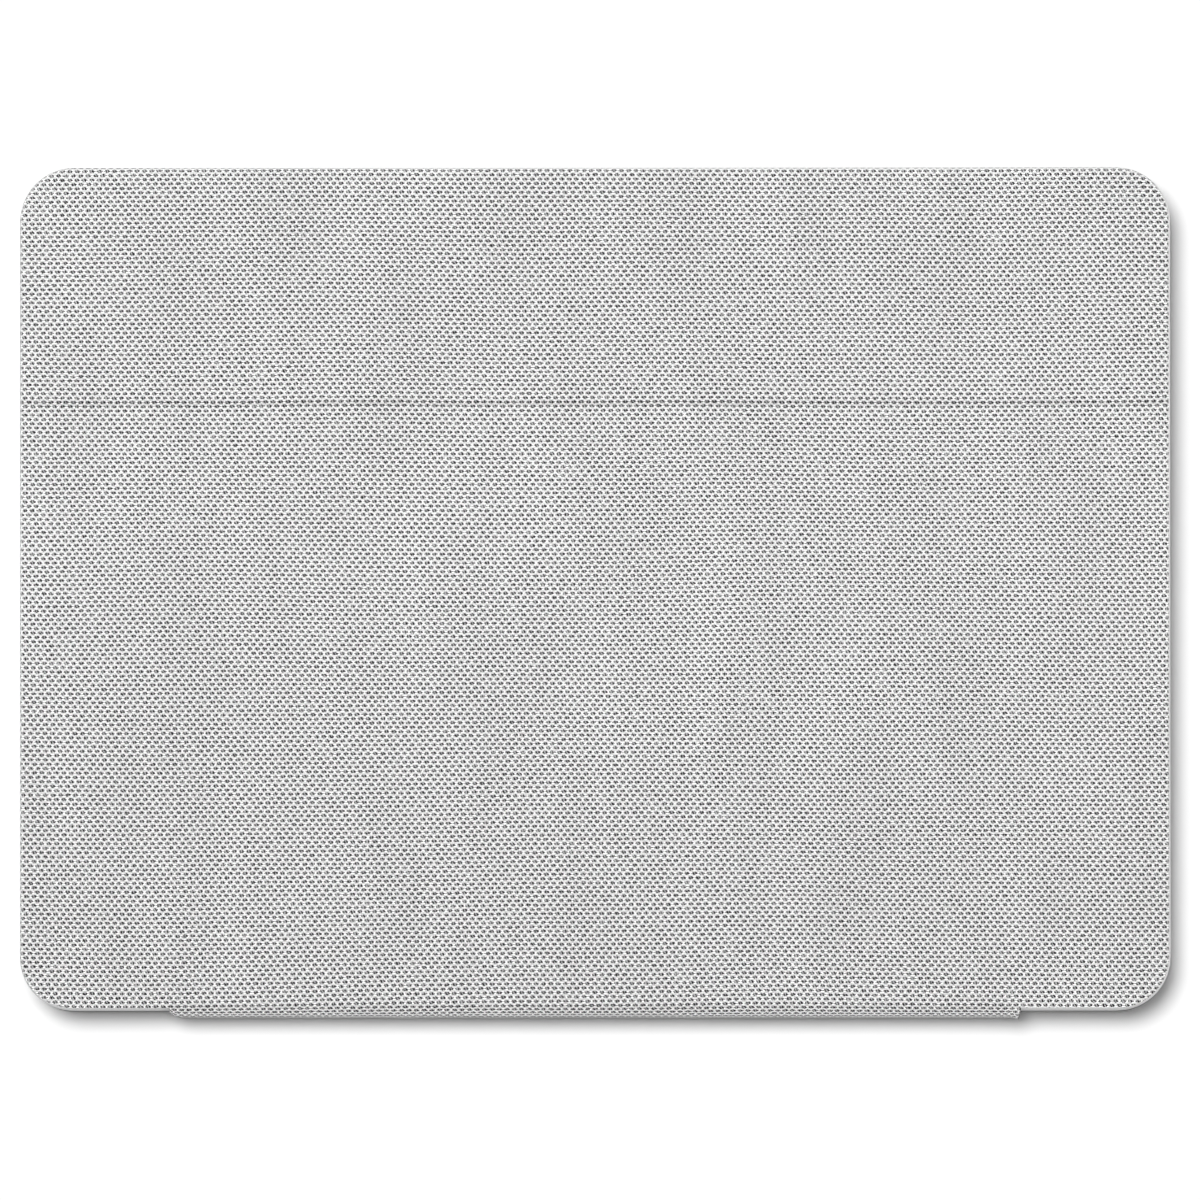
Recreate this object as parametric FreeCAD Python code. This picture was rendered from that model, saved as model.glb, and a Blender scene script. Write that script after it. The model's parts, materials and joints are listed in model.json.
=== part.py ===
"""Tablet keyboard case: a fabric-covered folio with a snap-in tablet tray, a fold-back front cover with a
creased end flap, and a slim wireless keyboard that clings to the inside of the cover.

Frame: the case lies closed on its back. +Z is up, away from the table, +Y runs from the spine to the free edge of
the cover, +X is to the right seen from above. Origin: middle of the footprint, on the table. Millimetres.
The keys point down (-Z) at the tablet's screen while the case is closed.
"""
import FreeCAD, Part
import os
from FreeCAD import Vector as V

# ---------------------------------------------------------------- driving dimensions
COVER_W = 252.0            # width of the cover panels
COVER_D = 184.6            # depth of the cover panels, without the spine
SPINE_OUT = 1.5            # how far the spine stands out beyond the panels' rear edge
SPINE_W = 186.6            # width of the spine
CORNER_R = 11.8            # plan radius of the cover's corners
FLAP_D = 51.7              # depth of the end flap, from the free edge to the crease
CREASE_W = 2.0             # width of the crease between the two boards

T_FABRIC = 0.5
T_BOARD = 1.0
T_LINING = 0.4

TABLET_W, TABLET_D, TABLET_T = 247.6, 178.5, 6.1     # the tablet that the tray holds
BAY_GAP = 0.3              # clearance around the tablet in plan
BAY_H = 6.4                # depth of the tray's bay
TRAY_WALL = 1.3
TRAY_FLOOR = 1.0
LIP_H = 0.8                # thickness of the corner lips
LIP_IN = 1.0               # how far the lips reach over the tablet
LIP_RUN = 24.0             # how far the lips run along each side from the corner

KB_W, KB_D, KB_R = 248.0, 118.0, 7.0
KB_Y0 = -88.0              # rear edge of the keyboard, beside the spine
KEY_U = 16.5               # key pitch
KEY_GAP = 2.4              # gap between two keycaps
KEY_F = 9.6                # pitch of the function row
KEY_ROW_UNITS = 14.5
KEY_TRAVEL = 1.0
T_DECK = 0.9
T_KB_BACK = 0.7
KB_CAVITY = 3.2
KB_WALL = 1.2
KEY_OUT = 0.8              # how far the keycaps stand out of the deck

# ---------------------------------------------------------------- derived levels and lines
Y_TOP = (COVER_D + SPINE_OUT) / 2.0                  # free edge
Y_REAR = Y_TOP - COVER_D                             # rear edge of the panels
Y_SPINE = Y_REAR - SPINE_OUT                         # outer face of the spine
Y_MID = (Y_TOP + Y_REAR) / 2.0
Y_CREASE = Y_TOP - FLAP_D
Y_FOLD = Y_REAR + 0.75                               # fold lines between spine and panels
HX = COVER_W / 2.0

Z_BACK_BOARD = T_FABRIC
Z_TRAY = T_FABRIC + T_BOARD
Z_FLOOR = Z_TRAY + TRAY_FLOOR
Z_BAY = Z_FLOOR + T_LINING
Z_LIP = Z_BAY + BAY_H
Z_RIM = Z_LIP + LIP_H
Z_KEYTOP = Z_RIM + 0.4
Z_DECK = Z_KEYTOP + KEY_OUT
Z_CAV0 = Z_DECK + T_DECK
Z_CAV1 = Z_CAV0 + KB_CAVITY
Z_KB = Z_CAV1 + T_KB_BACK
Z_LINING = Z_KB + 0.1
Z_BOARD = Z_LINING + T_LINING
Z_SKIN = Z_BOARD + T_BOARD
Z_TOP = Z_SKIN + T_FABRIC

parts = {}


# ---------------------------------------------------------------- helpers
def rrect(x0, x1, y0, y1, r, z):
    """Face of a rectangle with round corners at height z."""
    r = max(0.01, min(r, (x1 - x0) / 2 - 0.005, (y1 - y0) / 2 - 0.005))
    k = r * (1 - 2 ** -0.5)
    e = [
        Part.makeLine(V(x0 + r, y0, z), V(x1 - r, y0, z)),
        Part.Arc(V(x1 - r, y0, z), V(x1 - k, y0 + k, z), V(x1, y0 + r, z)).toShape(),
        Part.makeLine(V(x1, y0 + r, z), V(x1, y1 - r, z)),
        Part.Arc(V(x1, y1 - r, z), V(x1 - k, y1 - k, z), V(x1 - r, y1, z)).toShape(),
        Part.makeLine(V(x1 - r, y1, z), V(x0 + r, y1, z)),
        Part.Arc(V(x0 + r, y1, z), V(x0 + k, y1 - k, z), V(x0, y1 - r, z)).toShape(),
        Part.makeLine(V(x0, y1 - r, z), V(x0, y0 + r, z)),
        Part.Arc(V(x0, y0 + r, z), V(x0 + k, y0 + k, z), V(x0 + r, y0, z)).toShape(),
    ]
    return Part.Face(Part.Wire(e))


def rbox(x0, x1, y0, y1, z0, z1, r):
    return rrect(x0, x1, y0, y1, r, z0).extrude(V(0, 0, z1 - z0))


def box(x0, x1, y0, y1, z0, z1):
    return Part.makeBox(x1 - x0, y1 - y0, z1 - z0, V(x0, y0, z0))


def rounded_at(shape, z, r):
    """The shape with every edge that lies in the plane at height z rounded by r."""
    edges = [e for e in shape.Edges if all(abs(v.Z - z) < 1e-6 for v in e.Vertexes) and abs(e.BoundBox.ZMax - e.BoundBox.ZMin) < 1e-6]
    return shape.makeFillet(r, edges)


def one(shape):
    """The single solid of a boolean's result, cleaned."""
    shape = shape.removeSplitter()
    solids = shape.Solids
    assert len(solids) == 1, len(solids)
    return solids[0]


def group(shapes):
    return Part.makeCompound([s for shape in shapes for s in shape.Solids])


def profile(points, x0, x1):
    """Extrudes a closed polygon of (y, z) points along X."""
    pts = [V(x0, y, z) for y, z in points]
    return Part.Face(Part.makePolygon(pts + pts[:1])).extrude(V(x1 - x0, 0, 0))


def add(name, shape):
    for s in shape.Solids:
        assert s.isValid() and s.Volume > 0, name
    parts[name] = shape


# ---------------------------------------------------------------- panels: outline with the recess for the spine
def panel(inset, z0, z1):
    """A cover panel's plate, inset from the outline, with the spine's recess in its rear edge."""
    p = rbox(-HX + inset, HX - inset, Y_REAR + inset, Y_TOP - inset, z0, z1, CORNER_R - inset)
    return p


def recess(inset):
    return box(-SPINE_W / 2 - 0.4 - inset, SPINE_W / 2 + 0.4 + inset, Y_REAR - 5, Y_FOLD + 0.15 + inset, -5, Z_TOP + 5)


# camera window through the back, near the free edge
CAM_X, CAM_Y, CAM_W, CAM_R = -101.0, Y_TOP - 24.0, 26.0, 8.0


def window(w, z0, z1, r):
    return rbox(CAM_X - w / 2, CAM_X + w / 2, CAM_Y - w / 2, CAM_Y + w / 2, z0, z1, r)


# ---------------------------------------------------------------- back panel
back_outer = rounded_at(panel(0, 0, Z_TRAY), 0, 0.7).cut(recess(0))
back_inner = panel(T_FABRIC, T_FABRIC, Z_TRAY + 1).cut(recess(T_FABRIC))
back_fabric = one(back_outer.cut(back_inner).cut(window(CAM_W, -1, 5, CAM_R)))
add("back_fabric", back_fabric)

back_board = panel(T_FABRIC, T_FABRIC, Z_TRAY).cut(recess(T_FABRIC)).cut(window(CAM_W, -1, 5, CAM_R))
BACK_MAGNETS = [(x, y) for x in (-84.0, -28.0, 28.0, 84.0) for y in (Y_MID - 46.0, Y_MID + 30.0)]
for mx, my in BACK_MAGNETS:
    back_board = back_board.cut(box(mx - 10.1, mx + 10.1, my - 2.6, my + 2.6, T_FABRIC - 0.01, Z_TRAY + 0.01))
add("back_board", one(back_board))
add("back_magnets", group([rbox(mx - 10, mx + 10, my - 2.5, my + 2.5, T_FABRIC + 0.1, Z_TRAY - 0.1, 0.6) for mx, my in BACK_MAGNETS]))

# ---------------------------------------------------------------- tray
BAY_X = TABLET_W / 2 + BAY_GAP
BAY_Y = TABLET_D / 2 + BAY_GAP
TX, TY = BAY_X + TRAY_WALL, BAY_Y + TRAY_WALL
TRAY_R = 11.0
tray = rbox(-TX, TX, Y_MID - TY, Y_MID + TY, Z_TRAY, Z_RIM, TRAY_R)
tray = rounded_at(tray, Z_RIM, 0.45)
bay = rbox(-BAY_X, BAY_X, Y_MID - BAY_Y, Y_MID + BAY_Y, Z_FLOOR, Z_LIP, TRAY_R - TRAY_WALL)
mouth_full = rbox(-BAY_X, BAY_X, Y_MID - BAY_Y, Y_MID + BAY_Y, Z_LIP - 0.01, Z_RIM + 1, TRAY_R - TRAY_WALL)
for sx in (-1, 1):
    for sy in (-1, 1):
        x0, x1 = sorted((sx * (BAY_X - LIP_RUN), sx * (BAY_X + 5)))
        y0, y1 = sorted((Y_MID + sy * (BAY_Y - LIP_RUN), Y_MID + sy * (BAY_Y + 5)))
        mouth_full = mouth_full.cut(box(x0, x1, y0, y1, Z_LIP - 1, Z_RIM + 2))
mouth_lips = rbox(-BAY_X + LIP_IN, BAY_X - LIP_IN, Y_MID - BAY_Y + LIP_IN, Y_MID + BAY_Y - LIP_IN, Z_LIP - 0.01, Z_RIM + 1, TRAY_R - TRAY_WALL - 0.4)
tray = tray.cut(bay).cut(mouth_full).cut(mouth_lips)
tray = tray.cut(window(CAM_W, -1, 5, CAM_R))
Z_PORT = Z_BAY + TABLET_T / 2


def side_slot(sign, y, length, height):
    """A slot with round ends through the tray's left or right wall, at the tablet's mid height."""
    f = rrect(y - length / 2, y + length / 2, Z_PORT - height / 2, Z_PORT + height / 2, height / 2, 0)
    f.rotate(V(0, 0, 0), V(1, 1, 1), 120)            # x, y, z become y, z, x
    s = f.extrude(V(6, 0, 0))
    s.translate(V(sign * (TX - 0.6) - 3, 0, 0))
    return s


def end_slot(x, length, height):
    """A slot with round ends through the tray's front wall, beside the free edge."""
    s = rrect(x - length / 2, x + length / 2, -height / 2, height / 2, height / 2, 0).extrude(V(0, 0, 6))
    s.rotate(V(0, 0, 0), V(1, 0, 0), 90)
    s.translate(V(0, Y_MID + TY - 0.6 + 3, Z_PORT))
    return s


tray = tray.cut(side_slot(1, Y_MID, 15.0, 6.0))                     # charging port
for sign in (-1, 1):
    for y in (Y_MID - 44.0, Y_MID + 36.0):                          # loudspeaker slots
        tray = tray.cut(side_slot(sign, y, 26.0, 2.6))


# the button covers: a cap in the wall with a collar in a recess on the wall's inner face
def button(length, height, outward, collar_grow):
    """Cap and collar in a local frame: length along x, height along y, pressing along -z from the wall's outer face z = 0."""
    cap = rbox(-length / 2, length / 2, -height / 2, height / 2, -TRAY_WALL + 0.1, outward, height / 2 - 0.05)
    cap = rounded_at(cap, outward, 0.3)
    collar = rbox(-length / 2 - collar_grow, length / 2 + collar_grow, -height / 2 - collar_grow, height / 2 + collar_grow, -TRAY_WALL + 0.1, -TRAY_WALL + 0.6, 1.2)
    return one(cap.fuse(collar))


def button_hole(length, height, collar_grow, gap):
    hole = rbox(-length / 2 - gap, length / 2 + gap, -height / 2 - gap, height / 2 + gap, -TRAY_WALL - 1, 2, height / 2 + gap - 0.05)
    seat = rbox(-length / 2 - collar_grow - gap, length / 2 + collar_grow + gap, -height / 2 - collar_grow - gap, height / 2 + collar_grow + gap, -TRAY_WALL - 1, -TRAY_WALL + 0.7, 1.3)
    return hole.fuse(seat)


def onto_front_wall(shape, x):
    s = shape.copy()
    s.rotate(V(0, 0, 0), V(1, 0, 0), -90)            # local z to +Y
    s.translate(V(x, Y_MID + TY, Z_PORT))
    return s


def onto_left_wall(shape, y):
    s = shape.copy()
    s.rotate(V(0, 0, 0), V(1, 1, 1), 120)            # local x, y, z to y, z, x
    s.rotate(V(0, 0, 0), V(0, 0, 1), 180)            # local z to -X
    s.translate(V(-TX, y, Z_PORT))
    return s


BTN_L, BTN_H, BTN_OUT, COLLAR, BTN_GAP = 11.0, 2.8, 0.5, 0.8, 0.2
for name, place, at in (
    ("volume_up_button", onto_front_wall, -68.0),
    ("volume_down_button", onto_front_wall, -52.0),
    ("power_button", onto_left_wall, Y_TOP - 34.0),
):
    tray = tray.cut(place(button_hole(BTN_L, BTN_H, COLLAR, BTN_GAP), at))
    add(name, place(button(BTN_L, BTN_H, BTN_OUT, COLLAR), at))
add("tablet_tray", one(tray))

tray_lining = rbox(-BAY_X + 0.4, BAY_X - 0.4, Y_MID - BAY_Y + 0.4, Y_MID + BAY_Y - 0.4, Z_FLOOR, Z_BAY, TRAY_R - TRAY_WALL - 0.4)
add("tray_lining", one(tray_lining.cut(window(CAM_W + 1.0, -1, 5, CAM_R + 0.5))))
add("camera_ring", one(window(CAM_W - 0.1, 0.1, Z_FLOOR + 0.3, CAM_R - 0.05).cut(window(CAM_W - 2.4, -1, 5, CAM_R - 1.2))))

# ---------------------------------------------------------------- spine
SX = SPINE_W / 2
SHOULDER = 4.8                                       # height over which the spine swells out from the fold to its full depth
yc = Y_FOLD - 0.15


def bezier(x, pts):
    c = Part.BezierCurve()
    c.setPoles([V(x, y, z) for y, z in pts])
    return c.toShape()


def spine_section(x):
    """Closed section of the spine's fabric: it leaves both folds at a slope and swells out to a flat middle."""
    zt = Z_TOP
    out = [(yc, zt), (yc - 1.75, zt - 2.2), (Y_SPINE, zt - SHOULDER)]
    inn = [(yc, zt - 0.62), (yc - 1.35, zt - 2.45), (Y_SPINE + T_FABRIC, zt - SHOULDER)]
    low = lambda pts: [(y, Z_TOP - z) for y, z in reversed(pts)]
    e = [
        bezier(x, out),
        Part.makeLine(V(x, *out[-1]), V(x, *low(out)[0])),
        bezier(x, low(out)),
        Part.makeLine(V(x, *low(out)[-1]), V(x, *low(inn)[-1])),
        bezier(x, low(inn)[::-1]),
        Part.makeLine(V(x, *low(inn)[0]), V(x, *inn[-1])),
        bezier(x, inn[::-1]),
        Part.makeLine(V(x, *inn[0]), V(x, *out[0])),
    ]
    return Part.Wire(e)


add("spine_fabric", Part.Face(spine_section(-SX)).extrude(V(2 * SX, 0, 0)))
y_in = Y_SPINE + T_FABRIC
add("spine_board", box(-SX + 0.6, SX - 0.6, y_in, y_in + 0.8, SHOULDER + 0.1, Z_TOP - SHOULDER - 0.1))
add("spine_lining", box(-SX + 0.6, SX - 0.6, y_in + 0.8, y_in + 0.8 + T_LINING, 3.2, Z_TOP - 3.2))

# the fabric that bends at each fold: thin strips that bridge the gap between two stiffened parts
G = 0.15
add("spine_lower_hinge", box(-SX + 0.5, SX - 0.5, Y_FOLD - G, Y_FOLD + G, 0.05, T_FABRIC - 0.05))
add("spine_upper_hinge", box(-SX + 0.5, SX - 0.5, Y_FOLD - G, Y_FOLD + G, Z_TOP - T_FABRIC + 0.05, Z_TOP - 0.05))
add("crease_hinge", box(-HX + 1.0, HX - 1.0, Y_CREASE - CREASE_W / 2, Y_CREASE + CREASE_W / 2, Z_SKIN - 0.45, Z_SKIN - 0.05))

# ---------------------------------------------------------------- front cover: main panel and end flap
BIG = 400
main_side = box(-BIG, BIG, -BIG, Y_CREASE - CREASE_W / 2, -BIG, BIG)
flap_side = box(-BIG, BIG, Y_CREASE + CREASE_W / 2, BIG, -BIG, BIG)
skin = rounded_at(panel(0, Z_LINING, Z_TOP), Z_TOP, 0.8).cut(recess(0))
skin = skin.cut(panel(T_FABRIC, Z_LINING - 1, Z_SKIN).cut(recess(T_FABRIC)))
board = panel(T_FABRIC, Z_BOARD, Z_SKIN).cut(recess(T_FABRIC))
lining = panel(T_FABRIC + 0.1, Z_LINING, Z_BOARD).cut(recess(T_FABRIC + 0.1))
add("cover_fabric", one(skin.common(main_side)))
add("flap_fabric", one(skin.common(flap_side)))
cover_board, flap_board = board.common(main_side), board.common(flap_side)
add("cover_lining", one(lining.common(main_side)))
add("flap_lining", one(lining.common(flap_side)))

# magnets that hold the keyboard on the cover: each pair lies face to face
KB_X = KB_W / 2
KB_Y1 = KB_Y0 + KB_D
KEY_Y0 = KB_Y1 - 5.2 - KEY_F - 5 * KEY_U             # rear edge of the key field
KEY_Y1 = KB_Y1 - 5.2
KEY_X0 = -KEY_ROW_UNITS * KEY_U / 2
MAGNETS = [(-96.0, KB_Y1 - 3.1), (0.0, KB_Y1 - 3.1), (96.0, KB_Y1 - 3.1), (-96.0, KEY_Y0 - 2.4), (0.0, KEY_Y0 - 2.4), (96.0, KEY_Y0 - 2.4)]
for mx, my in MAGNETS:
    cover_board = cover_board.cut(box(mx - 7.1, mx + 7.1, my - 1.6, my + 1.6, Z_BOARD - 0.01, Z_SKIN + 0.01))
add("cover_board", one(cover_board))
add("cover_magnets", group([rbox(mx - 7, mx + 7, my - 1.5, my + 1.5, Z_BOARD + 0.1, Z_SKIN - 0.1, 0.5) for mx, my in MAGNETS]))
FLAP_MAGNETS = [(-92.0, Y_TOP - 7.0), (-40.0, Y_TOP - 7.0), (40.0, Y_TOP - 7.0), (92.0, Y_TOP - 7.0)]
for mx, my in FLAP_MAGNETS:
    flap_board = flap_board.cut(box(mx - 10.1, mx + 10.1, my - 2.6, my + 2.6, Z_BOARD - 0.01, Z_SKIN + 0.01))
add("flap_board", one(flap_board))
add("flap_magnets", group([rbox(mx - 10, mx + 10, my - 2.5, my + 2.5, Z_BOARD + 0.1, Z_SKIN - 0.1, 0.6) for mx, my in FLAP_MAGNETS]))
pad = rbox(-HX + 9, HX - 9, Y_CREASE + 5.0, Y_TOP - 6.0, Z_RIM + 0.5, Z_LINING, 6.0)
add("flap_foot_pad", one(rounded_at(pad, Z_RIM + 0.5, 1.6)))

# ---------------------------------------------------------------- keyboard
KEYS = []                                            # (node, centre x, centre y, width, depth)


def row(y, depth, items):
    x = KEY_X0
    for node, units in items:
        w = units * KEY_U
        if node:
            KEYS.append((node, x + w / 2, y, w - KEY_GAP, depth - KEY_GAP))
        x += w
    assert abs(x + KEY_X0) < 1e-6, x


y = KEY_Y0 + KEY_F / 2
row(y, KEY_F + 0.2, [("function_keys", KEY_ROW_UNITS / 14)] * 14)
y = KEY_Y0 + KEY_F + KEY_U / 2
row(y, KEY_U, [("number_keys", 1)] * 13 + [("backspace_key", 1.5)])
y += KEY_U
row(y, KEY_U, [("tab_key", 1.5)] + [("upper_letter_keys", 1)] * 13)
y += KEY_U
row(y, KEY_U, [("caps_lock_key", 1.75)] + [("home_letter_keys", 1)] * 11 + [("return_key", 1.75)])
y += KEY_U
row(y, KEY_U, [("left_shift_key", 2.25)] + [("lower_letter_keys", 1)] * 10 + [("right_shift_key", 2.25)])
y += KEY_U
row(y, KEY_U, [("function_shift_key", 1), ("control_key", 1), ("left_alt_key", 1), ("left_command_key", 1.25), ("space_bar", 5),
               ("right_command_key", 1.25), ("right_alt_key", 1), ("left_arrow_key", 1), (None, 1), ("right_arrow_key", 1)])
x_ud = KEY_X0 + 13.0 * KEY_U
KEYS.append(("up_arrow_key", x_ud, y - KEY_U / 4 + 0.3, KEY_U - KEY_GAP, KEY_U / 2 - 2.0))
KEYS.append(("down_arrow_key", x_ud, y + KEY_U / 4 - 0.3 + 0.0, KEY_U - KEY_GAP, KEY_U / 2 - 2.0))

OPEN_GAP = 0.3
Z_FLANGE0, Z_FLANGE1 = Z_CAV0 + 0.05, Z_CAV0 + 0.5
Z_DOME_TOP = Z_CAV0 + 0.9
Z_DOME_BASE = Z_CAV1 - 0.95
_caps = {}


def keycap(w, d):
    """A keycap centred on x = y = 0: a hollow cap with round corners, a collar that keeps it under the deck, and a plunger."""
    key = (round(w, 3), round(d, 3))
    if key not in _caps:
        small = d < 10
        cap = rbox(-w / 2, w / 2, -d / 2, d / 2, Z_KEYTOP, Z_FLANGE1, 1.7 if not small else 1.4)
        cap = rounded_at(cap, Z_KEYTOP, 0.35)
        g = 0.65 if d < 7 else 0.75
        collar = rbox(-w / 2 - g, w / 2 + g, -d / 2 - g, d / 2 + g, Z_FLANGE0, Z_FLANGE1, 1.2)
        hollow = rbox(-w / 2 + 1.0, w / 2 - 1.0, -d / 2 + 1.0, d / 2 - 1.0, Z_KEYTOP + 1.0, Z_FLANGE1 + 1, 0.9)
        stem = Part.makeCylinder(1.3 if small else 1.8, Z_DOME_TOP - 0.05 - (Z_KEYTOP + 0.9), V(0, 0, Z_KEYTOP + 0.9))
        _caps[key] = one(cap.fuse(collar).cut(hollow).fuse(stem))
    return _caps[key]


deck = rounded_at(rbox(-KB_X, KB_X, KB_Y0, KB_Y1, Z_DECK, Z_CAV0, KB_R), Z_DECK, 0.4)
by_node = {}
openings, domes = [], []
for node, x, yk, w, d in KEYS:
    k = keycap(w, d).copy()
    k.translate(V(x, yk, 0))
    by_node.setdefault(node, []).append(k)
    openings.append(rbox(x - w / 2 - OPEN_GAP, x + w / 2 + OPEN_GAP, yk - d / 2 - OPEN_GAP, yk + d / 2 + OPEN_GAP, Z_DECK - 1, Z_CAV0 + 1, 1.9 if d > 10 else 1.5))
    domes.append((x, yk, d))
deck = deck.cut(Part.makeCompound(openings))
for node, solids in by_node.items():
    add(node, group(solids))

# screws: bosses under the deck, in the margins around the key field
SCREWS = [(-118.6, KB_Y0 + 5.2), (-40.0, KB_Y0 + 4.2), (40.0, KB_Y0 + 4.2), (118.6, KB_Y0 + 5.2), (-112.0, KB_Y1 - 3.1), (-48.0, KB_Y1 - 3.1), (48.0, KB_Y1 - 3.1), (112.0, KB_Y1 - 3.1)]
screws = []
for sx, sy in SCREWS:
    deck = deck.fuse(Part.makeCylinder(1.5, KB_CAVITY - 0.02, V(sx, sy, Z_CAV0 - 0.02)))
for sx, sy in SCREWS:
    deck = deck.cut(Part.makeCylinder(0.65, KB_CAVITY - 0.6, V(sx, sy, Z_CAV0 + 0.6)))
LIGHT_X, LIGHT_Y = 116.0, KB_Y0 + 11.0
deck = deck.cut(Part.makeCylinder(0.9, 5, V(LIGHT_X, LIGHT_Y, Z_DECK - 2)))
add("keyboard_deck", one(deck))

case = rounded_at(rbox(-KB_X, KB_X, KB_Y0, KB_Y1, Z_CAV0, Z_KB, KB_R), Z_KB, 0.7)
case = case.cut(rbox(-KB_X + KB_WALL, KB_X - KB_WALL, KB_Y0 + KB_WALL, KB_Y1 - KB_WALL, Z_CAV0 - 1, Z_CAV1, KB_R - KB_WALL))
for sx, sy in SCREWS:
    case = case.cut(Part.makeCylinder(0.75, 5, V(sx, sy, Z_CAV1 - 1))).cut(Part.makeCylinder(1.5, 5, V(sx, sy, Z_KB - 0.45)))
    screws.append(Part.makeCylinder(1.4, 0.35, V(sx, sy, Z_KB - 0.42)).fuse(Part.makeCylinder(0.6, 2.6, V(sx, sy, Z_KB - 0.42 - 2.6))))
    head = screws[-1]
    slot_a = box(sx - 0.9, sx + 0.9, sy - 0.17, sy + 0.17, Z_KB - 0.25, Z_KB)
    slot_b = box(sx - 0.17, sx + 0.17, sy - 0.9, sy + 0.9, Z_KB - 0.25, Z_KB)
    screws[-1] = one(head.cut(slot_a).cut(slot_b))
PORT_Y = KB_Y0 + 13.0
PORT_Z = Z_CAV0 + KB_CAVITY / 2
port = rbox(-4.7, 4.7, -1.62, 1.62, -3, 3, 1.6)
port.rotate(V(0, 0, 0), V(1, 1, 1), 120)
port.translate(V(-KB_X, PORT_Y, PORT_Z))
case = case.cut(port)
SW_Y, SW_L, SW_TRAVEL = KB_Y0 + 12.0, 5.6, 2.5       # rear end of the slider's stroke, knob length, stroke
slot = box(KB_X - 3, KB_X + 1, SW_Y - 0.2, SW_Y + SW_L + SW_TRAVEL + 0.2, PORT_Z - 0.95, PORT_Z + 0.95)
case = case.cut(slot)
add("keyboard_bottom_case", one(case))
add("case_screws", group(screws))

knob = box(KB_X - KB_WALL - 0.3, KB_X + 0.55, SW_Y, SW_Y + SW_L, PORT_Z - 0.75, PORT_Z + 0.75)
for i in range(4):
    knob = knob.cut(box(KB_X + 0.35, KB_X + 2, SW_Y + 1.0 + i * 1.0, SW_Y + 1.4 + i * 1.0, PORT_Z - 2, PORT_Z + 2))
keeper = box(KB_X - KB_WALL - 0.8, KB_X - KB_WALL - 0.15, SW_Y - 1.2, SW_Y + SW_L + 1.2, PORT_Z - 1.3, PORT_Z + 1.3)
add("power_switch", one(knob.fuse(keeper)))

# key switches: steel plate, membrane and dome sheet under the key field
fx0, fx1 = KEY_X0 + 0.3, -KEY_X0 - 0.3
add("support_plate", rbox(fx0, fx1, KEY_Y0 + 0.3, KEY_Y1 - 0.3, Z_CAV1 - 0.4, Z_CAV1, 1.0))
add("membrane_circuit", rbox(fx0, fx1, KEY_Y0 + 0.3, KEY_Y1 - 0.3, Z_CAV1 - 0.75, Z_CAV1 - 0.4, 1.0))
sheet = rbox(fx0, fx1, KEY_Y0 + 0.3, KEY_Y1 - 0.3, Z_DOME_BASE, Z_CAV1 - 0.75, 1.0)
cones = []
for x, yk, d in domes:
    r = 2.6 if d > 10 else 2.0
    c = Part.makeCone(r * 0.55, r, Z_DOME_BASE - Z_DOME_TOP + 0.05, V(x, yk, Z_DOME_TOP))
    cones.append(c)
add("dome_sheet", one(sheet.fuse(cones)))

# electronics behind the key field
PCB_Z0, PCB_Z1 = Z_CAV1 - 0.9, Z_CAV1 - 0.1
RY0 = KB_Y0 + KB_WALL + 0.4
pcb = box(-116.5, -20.0, RY0, KEY_Y0 - 5.2, PCB_Z0, PCB_Z1).fuse(box(-116.5, 112.0, RY0, RY0 + 5.0, PCB_Z0, PCB_Z1))
for sx, sy in SCREWS:
    pcb = pcb.cut(Part.makeCylinder(1.9, 10, V(sx, sy, Z_CAV0 - 2)))
pcb = pcb.cut(box(-118, -115.0, PORT_Y - 4.9, PORT_Y + 4.9, PCB_Z0 - 1, PCB_Z1 + 1)).cut(box(-118, -114.6, PORT_Y - 4.9, PORT_Y + 4.9, PCB_Z0 - 1, PCB_Z1 + 1))
for bx, by, bw, bd, bh in ((-86.0, PORT_Y - 1, 14.0, 9.5, 1.3), (-66.0, PORT_Y - 2.5, 7.0, 7.0, 0.8), (-50.0, PORT_Y - 2, 5.0, 4.0, 0.9), (-101.0, PORT_Y - 3, 4.0, 4.0, 0.8),
                       (-34.0, PORT_Y - 1.0, 8.0, 4.4, 1.2), (-58.5, PORT_Y + 0.5, 2.0, 1.2, 0.6), (-43.0, PORT_Y + 0.5, 2.0, 1.2, 0.6), (100.0, RY0 + 2.4, 6.0, 3.0, 1.1)):
    pcb = pcb.fuse(box(bx - bw / 2, bx + bw / 2, by - bd / 2, by + bd / 2, PCB_Z0 - bh, PCB_Z0 + 0.05))
add("main_board", one(pcb))
bat = rbox(-10.0, 112.0, RY0 + 5.5, KEY_Y0 - 4.6, Z_CAV0 + 0.3, Z_CAV1 - 0.15, 1.2)
add("battery_cell", one(bat.fuse(box(-13.0, -9.9, RY0 + 6.0, KEY_Y0 - 5.0, Z_CAV0 + 1.0, Z_CAV0 + 1.8))))
usb = rbox(-4.47, 4.47, -1.55, 1.55, 0, 7.3, 1.5)
usb = usb.cut(rbox(-4.17, 4.17, -1.25, 1.25, 0.0 - 0.01, 6.3, 1.2)).fuse(box(-3.3, 3.3, -0.35, 0.35, 1.0, 6.5))
usb.rotate(V(0, 0, 0), V(1, 1, 1), 120)
usb.translate(V(-KB_X + 0.5, PORT_Y, PORT_Z))
add("charging_socket", one(usb))
tz = PCB_Z0
add("membrane_tail", profile([(KEY_Y0 - 8.0, tz - 0.2), (KEY_Y0 - 4.6, tz - 0.2), (KEY_Y0 - 1.2, Z_CAV1 - 0.7), (KEY_Y0 + 0.3, Z_CAV1 - 0.7), (KEY_Y0 + 0.3, Z_CAV1 - 0.5),
                              (KEY_Y0 - 1.3, Z_CAV1 - 0.5), (KEY_Y0 - 4.7, tz), (KEY_Y0 - 8.0, tz)], -29.5, -21.0))
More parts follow.
